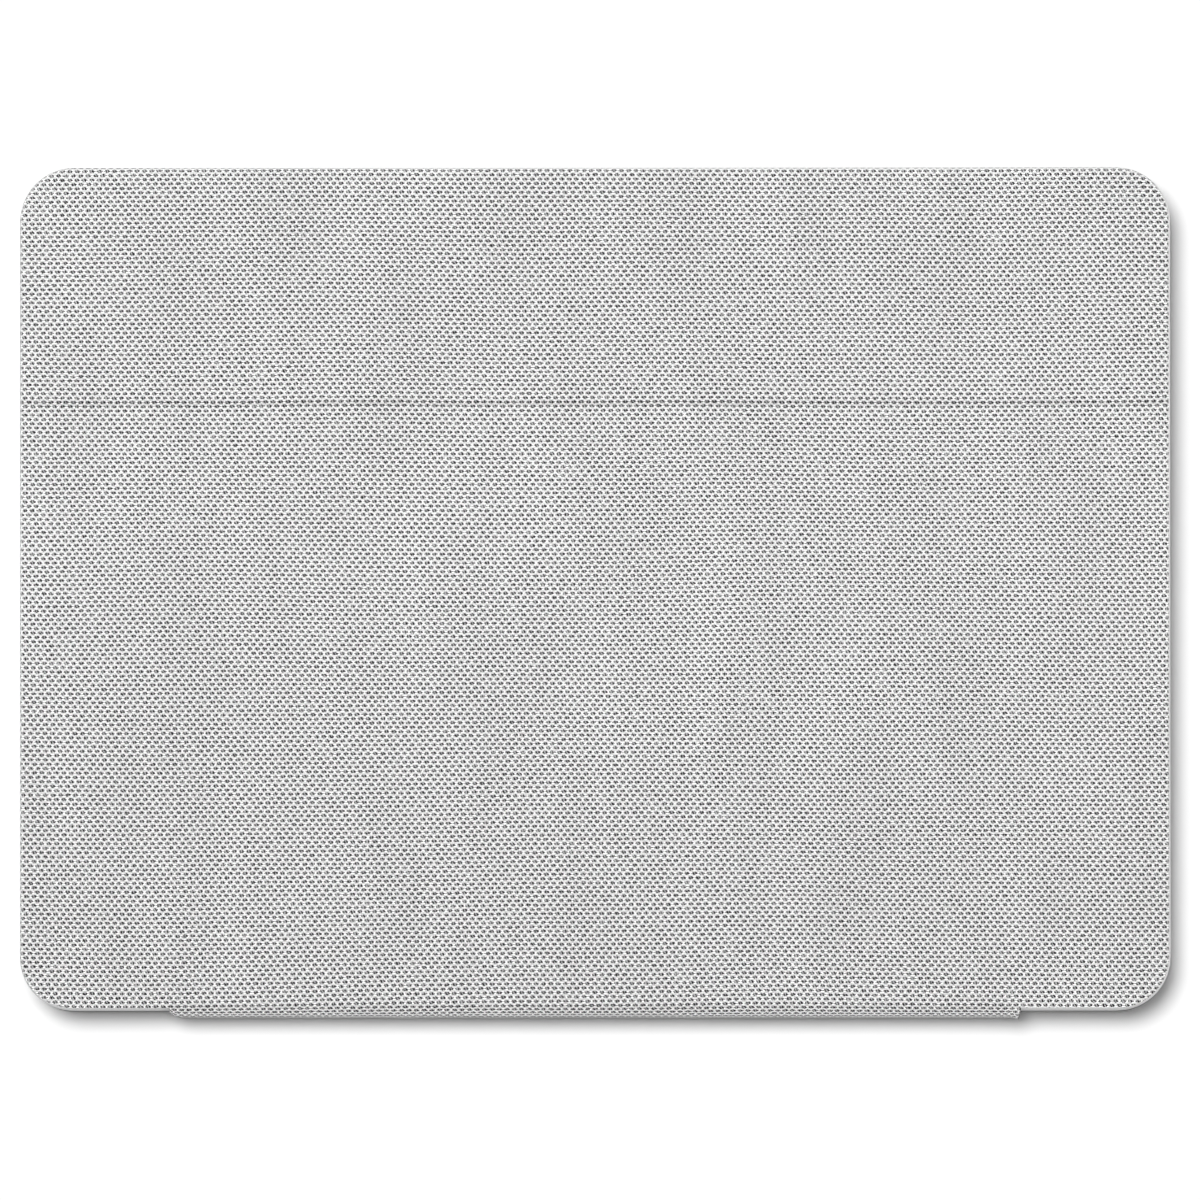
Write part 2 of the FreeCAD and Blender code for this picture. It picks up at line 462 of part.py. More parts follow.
add("keyboard_magnets", group([rbox(mx - 7, mx + 7, my - 1.5, my + 1.5, Z_CAV1 - 1.6, Z_CAV1, 0.5) for mx, my in MAGNETS]))
add("status_light", one(Part.makeCylinder(0.85, T_DECK + 0.8, V(LIGHT_X, LIGHT_Y, Z_DECK + 0.05)).fuse(Part.makeCylinder(1.3, 0.8, V(LIGHT_X, LIGHT_Y, Z_CAV0 + 0.02)))))
BUMPERS = [(sx * 121.8, yb) for sx in (-1, 1) for yb in (KB_Y0 + 7.0, KB_Y1 - 7.0)]
bumpers = []
for bx, by in BUMPERS:
    bumpers.append(rounded_at(Part.makeCylinder(1.8, Z_DECK - Z_RIM - 0.3, V(bx, by, Z_RIM + 0.3)), Z_RIM + 0.3, 0.4))
add("rubber_bumpers", group(bumpers))

# ---------------------------------------------------------------- write
os.makedirs("parts", exist_ok=True)
for old in os.listdir("parts"):
    if old.endswith(".step") and old[:-5] not in parts:
        os.remove(os.path.join("parts", old))
for name in sorted(parts):
    parts[name].exportStep("parts/%s.step" % name)
print(len(parts), "nodes,", len(KEYS), "keys, levels", dict(rim=round(Z_RIM, 3), keytop=round(Z_KEYTOP, 3), deck=round(Z_DECK, 3), kb=round(Z_KB, 3), top=round(Z_TOP, 3)),
      "lines", dict(top=round(Y_TOP, 3), rear=round(Y_REAR, 3), spine=round(Y_SPINE, 3), crease=round(Y_CREASE, 3), fold=round(Y_FOLD, 3), mid=round(Y_MID, 3), key_y0=round(KEY_Y0, 3)))
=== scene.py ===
"""Looks of the tablet keyboard case: woven outer fabric, microfibre linings, moulded tray and a slim keyboard.
Lengths in this file are millimetres until a mesh is made, which is in metres."""
import json
import math

import bpy
import numpy as np
from mathutils import Matrix, Vector
from mathutils.geometry import delaunay_2d_cdt


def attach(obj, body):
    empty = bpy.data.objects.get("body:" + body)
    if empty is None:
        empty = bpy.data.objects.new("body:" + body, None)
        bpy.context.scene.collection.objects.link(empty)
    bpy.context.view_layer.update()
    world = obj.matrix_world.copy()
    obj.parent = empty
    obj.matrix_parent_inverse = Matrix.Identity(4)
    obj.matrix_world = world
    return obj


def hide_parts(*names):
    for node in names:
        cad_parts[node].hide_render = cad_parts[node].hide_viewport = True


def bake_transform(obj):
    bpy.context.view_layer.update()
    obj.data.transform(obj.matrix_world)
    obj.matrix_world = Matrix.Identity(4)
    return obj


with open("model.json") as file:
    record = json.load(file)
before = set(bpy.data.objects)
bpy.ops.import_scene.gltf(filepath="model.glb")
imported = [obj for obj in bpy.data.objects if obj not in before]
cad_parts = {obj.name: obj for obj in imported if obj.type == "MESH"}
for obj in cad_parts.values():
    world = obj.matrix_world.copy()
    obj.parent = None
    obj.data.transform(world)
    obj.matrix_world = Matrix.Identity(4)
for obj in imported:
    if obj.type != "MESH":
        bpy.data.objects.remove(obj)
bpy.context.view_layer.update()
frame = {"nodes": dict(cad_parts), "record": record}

MM = 0.001

# ---------------------------------------------------------------- the CAD model's lines and levels
HX, Y_TOP, Y_REAR, Y_SPINE = 126.0, 93.05, -91.55, -93.05
Y_FOLD, Y_CREASE, R_COR = -90.8, 41.35, 11.8
Z_TOP, Z_LIN, Z_BOARD = 18.1, 16.2, 16.6
Z_KEY, Z_RIM, Z_TRAY = 10.5, 10.1, 1.5
SP_X = 93.3                                   # half the spine's width
Y_SEAM = -88.8                                # where the spine's cloth takes over from the panels'
Y_MID = 0.75
CAM_X, CAM_Y = -101.0, 69.05
SEAM_C = Y_CREASE - 3.2                       # where the flap's cloth takes over from the main panel's
EDGE_R = 0.8                                  # rounding of the covers' edges


# ---------------------------------------------------------------- mesh building
class Shape:
    """Vertices with a map of developed millimetres, float attributes and faces; points at the same place are one vertex."""

    def __init__(self):
        self.v, self.uv, self.at, self.f, self.m, self.known, self.apart = [], [], [], [], [], {}, set()

    def p(self, x, y, z, uv=None, **at):
        key = (round(x, 4), round(y, 4), round(z, 4))
        i = self.known.get(key)
        if i is None:
            i = self.known[key] = len(self.v)
            self.v.append((x, y, z))
            self.uv.append(uv if uv is not None else (x, y))
            self.at.append(at)
        return i

    def face(self, idx, mat=0, apart=False):
        """Adds a face; apart keeps it off the developed map, where it would cover others."""
        out = []
        for i in idx:
            if not out or out[-1] != i:
                out.append(i)
        if len(out) > 1 and out[0] == out[-1]:
            out.pop()
        if len(out) > 2 and len(set(out)) == len(out):
            if apart:
                self.apart.add(len(self.f))
            self.f.append(out)
            self.m.append(mat)

    def spread(self, faces):
        """The developed map fitted to the unit square, per face corner; faces with no width on it get cells of their own below."""
        uv = np.array(self.uv)
        lo, hi = uv.min(0), uv.max(0)
        fit = np.array((0.002, 0.032)) + np.array((0.996, 0.966)) * (uv - lo) / (hi - lo)
        out, loose = [], []
        for n, f in enumerate(faces):
            q = uv[f]
            area = 0.5 * abs(float(np.dot(q[:, 0], np.roll(q[:, 1], -1)) - np.dot(q[:, 1], np.roll(q[:, 0], -1))))
            if n in self.apart or area < 1e-4:
                loose.append((len(out), f))
            out += [tuple(c) for c in fit[f]]
        for n, (start, f) in enumerate(loose):
            w = np.array([self.v[i] for i in f])
            w = (w - w.mean(0)) @ np.linalg.svd(w - w.mean(0), full_matrices=False)[2][:2].T
            w = (w - w.min(0)) / max(float(np.ptp(w, axis=0).max()), 1e-9)
            cell = min(0.024, 0.996 / len(loose))
            for j in range(len(f)):
                out[start + j] = (0.002 + cell * (n + 0.9 * w[j, 0]), 0.002 + 0.024 * w[j, 1])
        return np.array(out, np.float32)

    def make(self, name, materials, flip=False, sharp=None, one_map=True):
        me = bpy.data.meshes.new(name)
        faces = [list(reversed(f)) for f in self.f] if flip else self.f
        me.from_pydata([(x * MM, y * MM, z * MM) for x, y, z in self.v], [], faces)
        layer = me.uv_layers.new(name="Weave")
        loops = np.zeros(len(me.loops), np.int32)
        me.loops.foreach_get("vertex_index", loops)
        layer.uv.foreach_set("vector", np.array(self.uv, np.float32)[loops].ravel())
        if one_map:
            me.uv_layers.new(name="OFBake").uv.foreach_set("vector", self.spread(faces).ravel())
            me.uv_layers.active = me.uv_layers["Weave"]
        for key in sorted({k for a in self.at for k in a}):
            att = me.attributes.new(key, "FLOAT", "POINT")
            att.data.foreach_set("value", np.array([a.get(key, 0.0) for a in self.at], np.float32))
        for m in materials:
            me.materials.append(m)
        me.polygons.foreach_set("material_index", np.array(self.m, np.int32))
        me.polygons.foreach_set("use_smooth", np.ones(len(faces), bool))
        me.update()
        if sharp:
            me.set_sharp_from_angle(angle=math.radians(sharp))
        ob = bpy.data.objects.new(name, me)
        bpy.context.scene.collection.objects.link(ob)
        return ob


def line(x0, y0, x1, y1, n, nx, ny):
    return [(x0 + (x1 - x0) * i / n, y0 + (y1 - y0) * i / n, nx, ny) for i in range(n + 1)]


def arc(cx, cy, r, a0, a1, n):
    out = []
    for i in range(n + 1):
        a = math.radians(a0 + (a1 - a0) * i / n)
        out.append((cx + r * math.cos(a), cy + r * math.sin(a), math.cos(a), math.sin(a)))
    return out


def join(*parts):
    out = []
    for part in parts:
        for q in part:
            if not out or abs(q[0] - out[-1][0]) + abs(q[1] - out[-1][1]) > 1e-6:
                out.append(q)
    return out


def rounded_loop(x0, x1, y0, y1, r, inset, n_arc=12, step=6.0):
    """Closed counter-clockwise loop of a rectangle with round corners, inset from its outline, as (x, y, outward normal)."""
    x0, x1, y0, y1, r = x0 + inset, x1 - inset, y0 + inset, y1 - inset, max(r - inset, 0.05)
    nx, ny = max(1, round((x1 - x0 - 2 * r) / step)), max(1, round((y1 - y0 - 2 * r) / step))
    out = join(
        line(x0 + r, y0, x1 - r, y0, nx, 0, -1), arc(x1 - r, y0 + r, r, -90, 0, n_arc),
        line(x1, y0 + r, x1, y1 - r, ny, 1, 0), arc(x1 - r, y1 - r, r, 0, 90, n_arc),
        line(x1 - r, y1, x0 + r, y1, nx, 0, 1), arc(x0 + r, y1 - r, r, 90, 180, n_arc),
        line(x0, y1 - r, x0, y0 + r, ny, -1, 0), arc(x0 + r, y0 + r, r, 180, 270, n_arc),
    )
    return out[:-1]


def inside(poly, x, y):
    px, py = poly[:, 0], poly[:, 1]
    qx, qy = np.roll(px, -1), np.roll(py, -1)
    cross = ((py > y) != (qy > y)) & (x < (qx - px) * (y - py) / np.where(qy == py, 1e-12, qy - py) + px)
    return bool(cross.sum() % 2)


def fill(shape, outer, holes, z, spacing, extra=(), mat=0, uv=None, at=None):
    """Triangles between the closed loop outer and the holes, with inner points about spacing apart; z is a level or a function of x and y."""
    zf = z if callable(z) else (lambda x, y: z)
    loops = [np.array([(q[0], q[1]) for q in outer])] + [np.array([(q[0], q[1]) for q in h]) for h in holes]
    pts, edges = [], []
    for lp in loops:
        n0 = len(pts)
        pts += [tuple(q) for q in lp]
        edges += [(n0 + i, n0 + (i + 1) % len(lp)) for i in range(len(lp))]
    border = np.concatenate(loops)
    lo, hi = loops[0].min(0), loops[0].max(0)
    inner = [(x, y) for x in np.arange(lo[0] + spacing / 2, hi[0], spacing) for y in np.arange(lo[1] + spacing / 2, hi[1], spacing)] if spacing else []
    extra = [tuple(q[:2]) for q in extra]
    ex = np.array(extra) if extra else np.zeros((0, 2))
    for x, y in inner:
        if ((border - (x, y)) ** 2).sum(1).min() < (0.5 * spacing) ** 2:
            continue
        if len(ex) and ((ex - (x, y)) ** 2).sum(1).min() < (0.45 * spacing) ** 2:
            continue
        if inside(loops[0], x, y) and not any(inside(h, x, y) for h in loops[1:]):
            pts.append((x, y))
    for x, y in extra:
        if inside(loops[0], x, y) and ((border - (x, y)) ** 2).sum(1).min() > 0.01 and not any(inside(h, x, y) for h in loops[1:]):
            pts.append((x, y))
    co, _, tris, _, _, _ = delaunay_2d_cdt([Vector(q) for q in pts], edges, [], 1, 1e-4)
    ids = [shape.p(q.x, q.y, zf(q.x, q.y), uv(q.x, q.y) if uv else (q.x, q.y), **(at(q.x, q.y) if at else {})) for q in co]
    for t in tris:
        cx, cy = sum(co[i].x for i in t) / 3, sum(co[i].y for i in t) / 3
        if inside(loops[0], cx, cy) and not any(inside(h, cx, cy) for h in loops[1:]):
            a, b, c = (co[i] for i in t)
            if (b.x - a.x) * (c.y - a.y) - (b.y - a.y) * (c.x - a.x) < 0:
                t = list(reversed(t))
            shape.face([ids[i] for i in t], mat)


def ring(shape, chain, profile, closed=False, mat=0, uv=None):
    """Sweeps a profile round a chain. profile(q) gives, for chain point q, a list of (outward, level, attributes)."""
    rows = []
    for q in chain:
        row, run, last = [], 0.0, None
        for d, zz, at in profile(q):
            if last is not None:
                run += math.hypot(d - last[0], zz - last[1])
            else:
                run = d
            last = (d, zz)
            here = uv(q, run) if uv else (q[0] + q[2] * run, q[1] + q[3] * run)
            row.append(shape.p(q[0] + q[2] * d, q[1] + q[3] * d, zz, here, **at))
        rows.append(row)
    pairs = list(zip(rows, rows[1:])) + ([(rows[-1], rows[0])] if closed else [])
    for a, b in pairs:
        for j in range(len(a) - 1):
            shape.face([a[j], a[j + 1], b[j + 1], b[j]], mat(j) if callable(mat) else mat)
    return rows


def smooth(e0, e1, x):
    t = min(1.0, max(0.0, (x - e0) / (e1 - e0)))
    return t * t * (3 - 2 * t)


# ---------------------------------------------------------------- materials
class Mat:
    """A Principled material and the few node makers used here. A number is set on its socket, and a socket is linked."""

    def __init__(self, name, rough=0.6, metal=0.0, sheen=0.0, sheen_rough=0.5, spec=0.5, coat=0.0):
        self.m = bpy.data.materials.new(name)
        self.m.use_nodes = True
        self.t = self.m.node_tree
        self.t.nodes.clear()
        out = self.t.nodes.new("ShaderNodeOutputMaterial")
        self.b = self.t.nodes.new("ShaderNodeBsdfPrincipled")
        self.t.links.new(self.b.outputs[0], out.inputs[0])
        for key, value in (("Roughness", rough), ("Metallic", metal), ("Sheen Weight", sheen), ("Sheen Roughness", sheen_rough), ("Specular IOR Level", spec), ("Coat Weight", coat)):
            self.b.inputs[key].default_value = value

    def node(self, kind, **props):
        n = self.t.nodes.new(kind)
        for k, v in props.items():
            setattr(n, k, v)
        return n

    def put(self, socket, value):
        if isinstance(value, bpy.types.NodeSocket):
            self.t.links.new(value, socket)
        elif isinstance(value, (tuple, list)) and len(value) == 3 and len(socket.default_value) == 4:
            socket.default_value = (*value, 1.0)
        else:
            socket.default_value = value

    def math(self, op, a, b=None, c=None, clamp=False):
        n = self.node("ShaderNodeMath", operation=op, use_clamp=clamp)
        for i, x in enumerate((a, b, c)):
            if x is not None:
                self.put(n.inputs[i], x)
        return n.outputs[0]

    def vmath(self, op, a, b=None, scale=None):
        n = self.node("ShaderNodeVectorMath", operation=op)
        self.put(n.inputs[0], a)
        if b is not None:
            self.put(n.inputs[1], b)
        if scale is not None:
            self.put(n.inputs["Scale"], scale)
        return n.outputs["Value"] if op in ("LENGTH", "DOT_PRODUCT", "DISTANCE") else n.outputs[0]

    def uv(self, name="Weave"):
        return self.node("ShaderNodeUVMap", uv_map=name).outputs[0]

    def place(self):
        """Position in the piece's own frame, in millimetres."""
        return self.vmath("SCALE", self.node("ShaderNodeTexCoord").outputs["Object"], scale=1000.0)

    def attribute(self, name):
        return self.node("ShaderNodeAttribute", attribute_name=name).outputs["Fac"]

    def noise(self, vec, scale, detail=2.0, rough=0.5, colour=False, dims="3D"):
        n = self.node("ShaderNodeTexNoise", noise_dimensions=dims)
        self.put(n.inputs["Vector"], vec)
        self.put(n.inputs["Scale"], scale)
        self.put(n.inputs["Detail"], detail)
        self.put(n.inputs["Roughness"], rough)
        return n.outputs["Color" if colour else "Fac"]

    def voronoi(self, vec, scale, feature="F1"):
        n = self.node("ShaderNodeTexVoronoi", feature=feature)
        self.put(n.inputs["Vector"], vec)
        self.put(n.inputs["Scale"], scale)
        return n.outputs["Distance"]

    def white(self, vec):
        n = self.node("ShaderNodeTexWhiteNoise", noise_dimensions="2D")
        self.put(n.inputs["Vector"], vec)
        return n.outputs["Value"]

    def xyz(self, x, y, z=0.0):
        n = self.node("ShaderNodeCombineXYZ")
        for i, v in enumerate((x, y, z)):
            self.put(n.inputs[i], v)
        return n.outputs[0]

    def split(self, vec):
        n = self.node("ShaderNodeSeparateXYZ")
        self.put(n.inputs[0], vec)
        return n.outputs[0], n.outputs[1], n.outputs[2]

    def remap(self, x, a, b, c=0.0, d=1.0, kind="SMOOTHSTEP"):
        n = self.node("ShaderNodeMapRange", interpolation_type=kind)
        for i, v in enumerate((x, a, b, c, d)):
            self.put(n.inputs[i], v)
        return n.outputs[0]

    def mix(self, f, a, b, kind="MIX"):
        n = self.node("ShaderNodeMix", data_type="RGBA", blend_type=kind)
        self.put(n.inputs[0], f)
        self.put(n.inputs[6], a)
        self.put(n.inputs[7], b)
        return n.outputs[2]

    def grey(self, v):
        n = self.node("ShaderNodeCombineColor")
        for i in range(3):
            self.put(n.inputs[i], v)
        return n.outputs[0]

    def bump(self, height, strength, distance_mm, normal=None):
        n = self.node("ShaderNodeBump")
        self.put(n.inputs["Height"], height)
        n.inputs["Strength"].default_value = strength
        n.inputs["Distance"].default_value = distance_mm * MM
        if normal is not None:
            self.put(n.inputs["Normal"], normal)
        return n.outputs[0]

    def set(self, **sockets):
        for k, v in sockets.items():
            self.put(self.b.inputs[k.replace("_", " ")], v)
        return self.m


WEAVE_X, WEAVE_Y = 1.632, 1.90                # repeat of the weave: one cell across, two rows down


def woven():
    """Light grey open weave: staggered dark cells between pale yarns, each cell a little different."""
    k = Mat("woven_fabric", rough=0.86, sheen=0.15, sheen_rough=0.45, spec=0.2)
    at = k.uv()
    drift = k.vmath("SUBTRACT", k.noise(at, 0.011, 1.0, colour=True), (0.5, 0.5, 0.5))
    jitter = k.vmath("SUBTRACT", k.noise(at, 0.60, 1.0, colour=True), (0.5, 0.5, 0.5))
    ux, uy, _ = k.split(at)
    pull = k.math("MULTIPLY", k.remap(ux, -126.0, 10.0, 1.3, 0.0), k.remap(uy, 10.0, -92.0, 0.0, 1.0))
    at = k.vmath("ADD", at, k.xyz(0.0, pull))
    moved = k.vmath("ADD", k.vmath("ADD", at, k.vmath("SCALE", drift, scale=2.2)), k.vmath("MULTIPLY", jitter, (0.55, 0.24, 0.0)))
    x, y, _ = k.split(moved)
    u, v = k.math("DIVIDE", x, WEAVE_X), k.math("DIVIDE", y, WEAVE_Y)
    u2, v2 = k.math("ADD", u, 0.5), k.math("ADD", v, 0.5)

    def cell(a, b):
        fx, fy = k.math("SUBTRACT", k.math("FRACT", a), 0.5), k.math("SUBTRACT", k.math("FRACT", b), 0.5)
        px = k.math("POWER", k.math("DIVIDE", k.math("ABSOLUTE", fx), 0.462), 1.6)
        py = k.math("POWER", k.math("DIVIDE", k.math("ABSOLUTE", fy), 0.199), 1.6)
        return k.math("ADD", px, py), fx, fy

    (d1, x1, y1), (d2, x2, y2) = cell(u, v), cell(u2, v2)
    first = k.math("LESS_THAN", d1, d2)
    d = k.math("MINIMUM", d1, d2)
    other = k.math("SUBTRACT", 1.0, first)
    side = k.math("ADD", k.math("MULTIPLY", first, x1), k.math("MULTIPLY", other, x2))
    rise = k.math("ADD", k.math("MULTIPLY", first, y1), k.math("MULTIPLY", other, y2))
    between = k.remap(k.math("MINIMUM", k.math("ABSOLUTE", y1), k.math("ABSOLUTE", y2)), 0.10, 0.21)
    id1 = k.xyz(k.math("FLOOR", u), k.math("FLOOR", v))
    id2 = k.xyz(k.math("ADD", k.math("FLOOR", u2), 0.37), k.math("ADD", k.math("FLOOR", v2), 0.61))
    pick = k.node("ShaderNodeMix", data_type="VECTOR")
    k.put(pick.inputs[0], first)
    k.put(pick.inputs[4], id2)
    k.put(pick.inputs[5], id1)
    rand = k.white(pick.outputs[1])
    fold, band, pale, dim = k.attribute("fold"), k.attribute("band"), k.attribute("pale"), k.attribute("dim")
    strand = k.noise(k.vmath("MULTIPLY", at, (2.6, 2.1, 1.0)), 1.0, 1.0, 0.6)
    fibre = k.noise(k.vmath("MULTIPLY", at, (3.2, 4.6, 1.0)), 1.0, 2.0, 0.65)
    soft = k.math("ADD", d, k.math("MULTIPLY", k.math("SUBTRACT", fibre, 0.5), 1.20))
    hole = k.remap(k.math("SUBTRACT", soft, k.math("MULTIPLY", fold, 0.05)), 1.28, 0.55)
    # a cell: grey plies slanting across it with dark gaps between them, paler on the left
    run = k.math("ADD", k.math("MULTIPLY", side, 17.090), k.math("MULTIPLY", rise, 8.954))
    ply = k.math("SINE", k.math("ADD", run, k.math("MULTIPLY", rand, 3.500)))
    ground = k.math("ADD", k.math("MULTIPLY", k.math("SUBTRACT", strand, 0.5), 0.950), k.math("ADD", k.math("MULTIPLY", rand, 0.10), 0.185))
    ground = k.math("ADD", ground, k.math("MULTIPLY", ply, 0.200))
    ground = k.math("SUBTRACT", ground, k.math("MULTIPLY", side, 0.280))
    ground = k.math("MINIMUM", k.math("MAXIMUM", ground, 0.012), 0.46)
    # painted shade: the cells are darkened where fold is set, in the crease and along the spine's fold and round
    ground = k.math("MULTIPLY", ground, k.remap(fold, 0.0, 1.0, 1.0, 0.72, "LINEAR"))
    # pale fades the cells to a paler grey: on the covers' rounded edges partly the fade into the pressed rim and partly
    # painted light, over the spine's round painted light
    ground = k.math("ADD", k.math("MULTIPLY", ground, k.math("SUBTRACT", 1.0, pale)), k.math("MULTIPLY", pale, 0.58))
    # the yarns round it: brightest where they pass between two cells of a row
    yarn = k.remap(fibre, 0.28, 0.72, 0.700, 1.030, "LINEAR")
    yarn = k.math("MULTIPLY", yarn, k.remap(between, 0.0, 1.0, 1.14, 0.82, "LINEAR"))
    # painted shade: the yarns are darkened where fold is set
    yarn = k.math("MULTIPLY", yarn, k.remap(fold, 0.0, 1.0, 1.0, 0.87, "LINEAR"))
    cloud = k.noise(k.vmath("MULTIPLY", at, (0.06, 0.018, 1.0)), 1.0, 3.0, 0.55)
    # a little greyer towards the spine: painted shade, darker towards the spine
    tone = k.math("MULTIPLY", k.remap(cloud, 0.3, 0.7, 0.95, 1.05, "LINEAR"), k.remap(uy, 14.0, -90.0, 1.0, 0.92, "LINEAR"))
    body = k.math("ADD", k.math("MULTIPLY", k.math("SUBTRACT", 1.0, hole), yarn), k.math("MULTIPLY", hole, ground))
    body = k.math("MINIMUM", k.math("MULTIPLY", body, tone), 0.98)
    flat = k.math("SUBTRACT", 1.0, band)
    # painted shade: the pressed rim is darker where dim is set, on edges facing -Y, turned from the light, and on the
    # side walls
    rim = k.math("MULTIPLY", k.remap(fibre, 0.2, 0.8, 0.80, 0.96, "LINEAR"), k.remap(dim, 0.0, 1.0, 1.0, 0.63, "LINEAR"))
    value = k.math("ADD", k.math("MULTIPLY", body, flat), k.math("MULTIPLY", band, rim))
    height = k.math("MULTIPLY", k.math("ADD", k.math("SUBTRACT", 1.0, hole), k.math("MULTIPLY", fibre, 0.30)), flat)
    return k.set(Base_Color=k.grey(value), Normal=k.bump(height, 0.5, 0.20))


def microfibre(name, level, uv=True):
    """Brushed microfibre: a short nap that lies in patches."""
    k = Mat(name, rough=0.92, sheen=0.55, sheen_rough=0.35, spec=0.2)
    at = k.uv() if uv else k.place()
    nap = k.noise(k.vmath("MULTIPLY", at, (2.2, 5.5, 2.0)), 1.0, 3.0, 0.7)
    patch = k.noise(k.vmath("MULTIPLY", at, (0.02, 0.05, 0.02)), 1.0, 2.0, 0.5)
    fine = k.noise(at, 9.0, 1.0)
    f = k.math("ADD", k.math("MULTIPLY", nap, 0.62), k.math("ADD", k.math("MULTIPLY", patch, 0.13), k.math("MULTIPLY", fine, 0.25)))
    shade = k.remap(f, 0.3, 0.7, 0.78 * level, 1.22 * level, "LINEAR")
    press = k.attribute("press")
    shade = k.math("MULTIPLY", shade, k.remap(press, 0.0, 1.0, 1.0, 0.72, "LINEAR"))
    return k.set(Base_Color=k.grey(shade), Normal=k.bump(k.math("ADD", nap, fine), 0.35, 0.12))


def moulded(name, colour, rough=0.55, grain=7.0, depth=0.05, coat=0.0):
    """Moulded plastic with a fine eroded grain and a faint mottle."""
    k = Mat(name, rough=rough, spec=0.45, coat=coat)
    at = k.place()
    g = k.noise(at, grain, 2.0, 0.6)
    mottle = k.noise(at, 0.05, 3.0, 0.5)
    f = k.remap(k.math("ADD", k.math("MULTIPLY", g, 0.8), k.math("MULTIPLY", mottle, 0.2)), 0.35, 0.65, 0.0, 1.0, "LINEAR")
    lo, hi = [c * 0.93 for c in colour], [min(1.0, c * 1.06) for c in colour]
    r = k.remap(g, 0.3, 0.7, rough - 0.06, rough + 0.08, "LINEAR")
    return k.set(Base_Color=k.mix(f, tuple(lo), tuple(hi)), Roughness=r, Normal=k.bump(g, 0.30, depth))


def metal(name, colour, rough=0.32, stretch=(0.6, 14.0, 14.0)):
    """Plated or rolled metal with fine lines along one way."""
    k = Mat(name, rough=rough, metal=1.0)
    at = k.place()
    lines = k.noise(k.vmath("MULTIPLY", at, stretch), 1.0, 3.0, 0.6)
    f = k.remap(lines, 0.3, 0.7, 0.0, 1.0, "LINEAR")
    return k.set(Base_Color=k.mix(f, tuple(c * 0.86 for c in colour), colour), Roughness=k.remap(lines, 0.3, 0.7, rough - 0.08, rough + 0.1, "LINEAR"), Normal=k.bump(lines, 0.12, 0.02))


def rubber(name, level, rough=0.75):
    k = Mat(name, rough=rough, spec=0.3)
    at = k.place()
    g = k.noise(at, 5.0, 3.0, 0.6)
    return k.set(Base_Color=k.grey(k.remap(g, 0.3, 0.7, 0.88 * level, 1.12 * level, "LINEAR")), Roughness=k.remap(g, 0.3, 0.7, rough - 0.05, rough + 0.1, "LINEAR"), Normal=k.bump(g, 0.25, 0.05))


def fibreboard():
    """Glass-fibre sheet: a tight criss-cross of rovings."""
    k = Mat("glass_fibre_board", rough=0.6)
    x, y, _ = k.split(k.place())
    w = k.math("MULTIPLY", k.math("SINE", k.math("MULTIPLY", x, 5.2)), k.math("SINE", k.math("MULTIPLY", y, 5.2)))
    n = k.noise(k.place(), 0.8, 3.0)
    f = k.math("ADD", k.math("MULTIPLY", w, 0.25), n)
    return k.set(Base_Color=k.grey(k.remap(f, 0.2, 0.9, 0.05, 0.11, "LINEAR")), Normal=k.bump(w, 0.2, 0.05))


def circuit():
    """Solder mask over copper: darker lanes under a green coat."""
    k = Mat("solder_mask", rough=0.35, spec=0.5)
    at = k.place()
    lanes = k.remap(k.voronoi(k.vmath("MULTIPLY", at, (0.8, 2.6, 1.0)), 0.9), 0.28, 0.34)
    return k.set(Base_Color=k.mix(lanes, (0.010, 0.085, 0.040), (0.020, 0.13, 0.062)), Normal=k.bump(lanes, 0.15, 0.03))


def film():
    """Clear film with printed silver tracks."""
    k = Mat("membrane_film", rough=0.25, spec=0.5)
    at = k.place()
    x, y, _ = k.split(at)
    t = k.math("ABSOLUTE", k.math("SUBTRACT", k.math("FRACT", k.math("DIVIDE", y, 4.125)), 0.5))
    tracks = k.remap(k.math("ADD", t, k.math("MULTIPLY", k.noise(at, 0.15, 1.0), 0.1)), 0.06, 0.09)
    return k.set(Base_Color=k.mix(tracks, (0.30, 0.31, 0.32), (0.62, 0.65, 0.64)))


def foil():
    k = Mat("pouch_foil", rough=0.4, metal=0.8)
    at = k.place()
    n = k.noise(at, 0.35, 4.0, 0.6)
    return k.set(Base_Color=k.grey(k.remap(n, 0.3, 0.7, 0.42, 0.62, "LINEAR")), Roughness=k.remap(n, 0.3, 0.7, 0.3, 0.55, "LINEAR"), Normal=k.bump(n, 0.35, 0.25))


def legend():
    k = Mat("key_legend_ink", rough=0.55, spec=0.35)
    n = k.noise(k.place(), 6.0, 2.0)
    return k.set(Base_Color=k.grey(k.remap(n, 0.3, 0.7, 0.030, 0.055, "LINEAR")))


def light_pipe():
    k = Mat("light_pipe", rough=0.2, spec=0.5)
    n = k.noise(k.place(), 2.0, 2.0)
    return k.set(Base_Color=k.mix(n, (0.62, 0.72, 0.66), (0.78, 0.86, 0.80)))


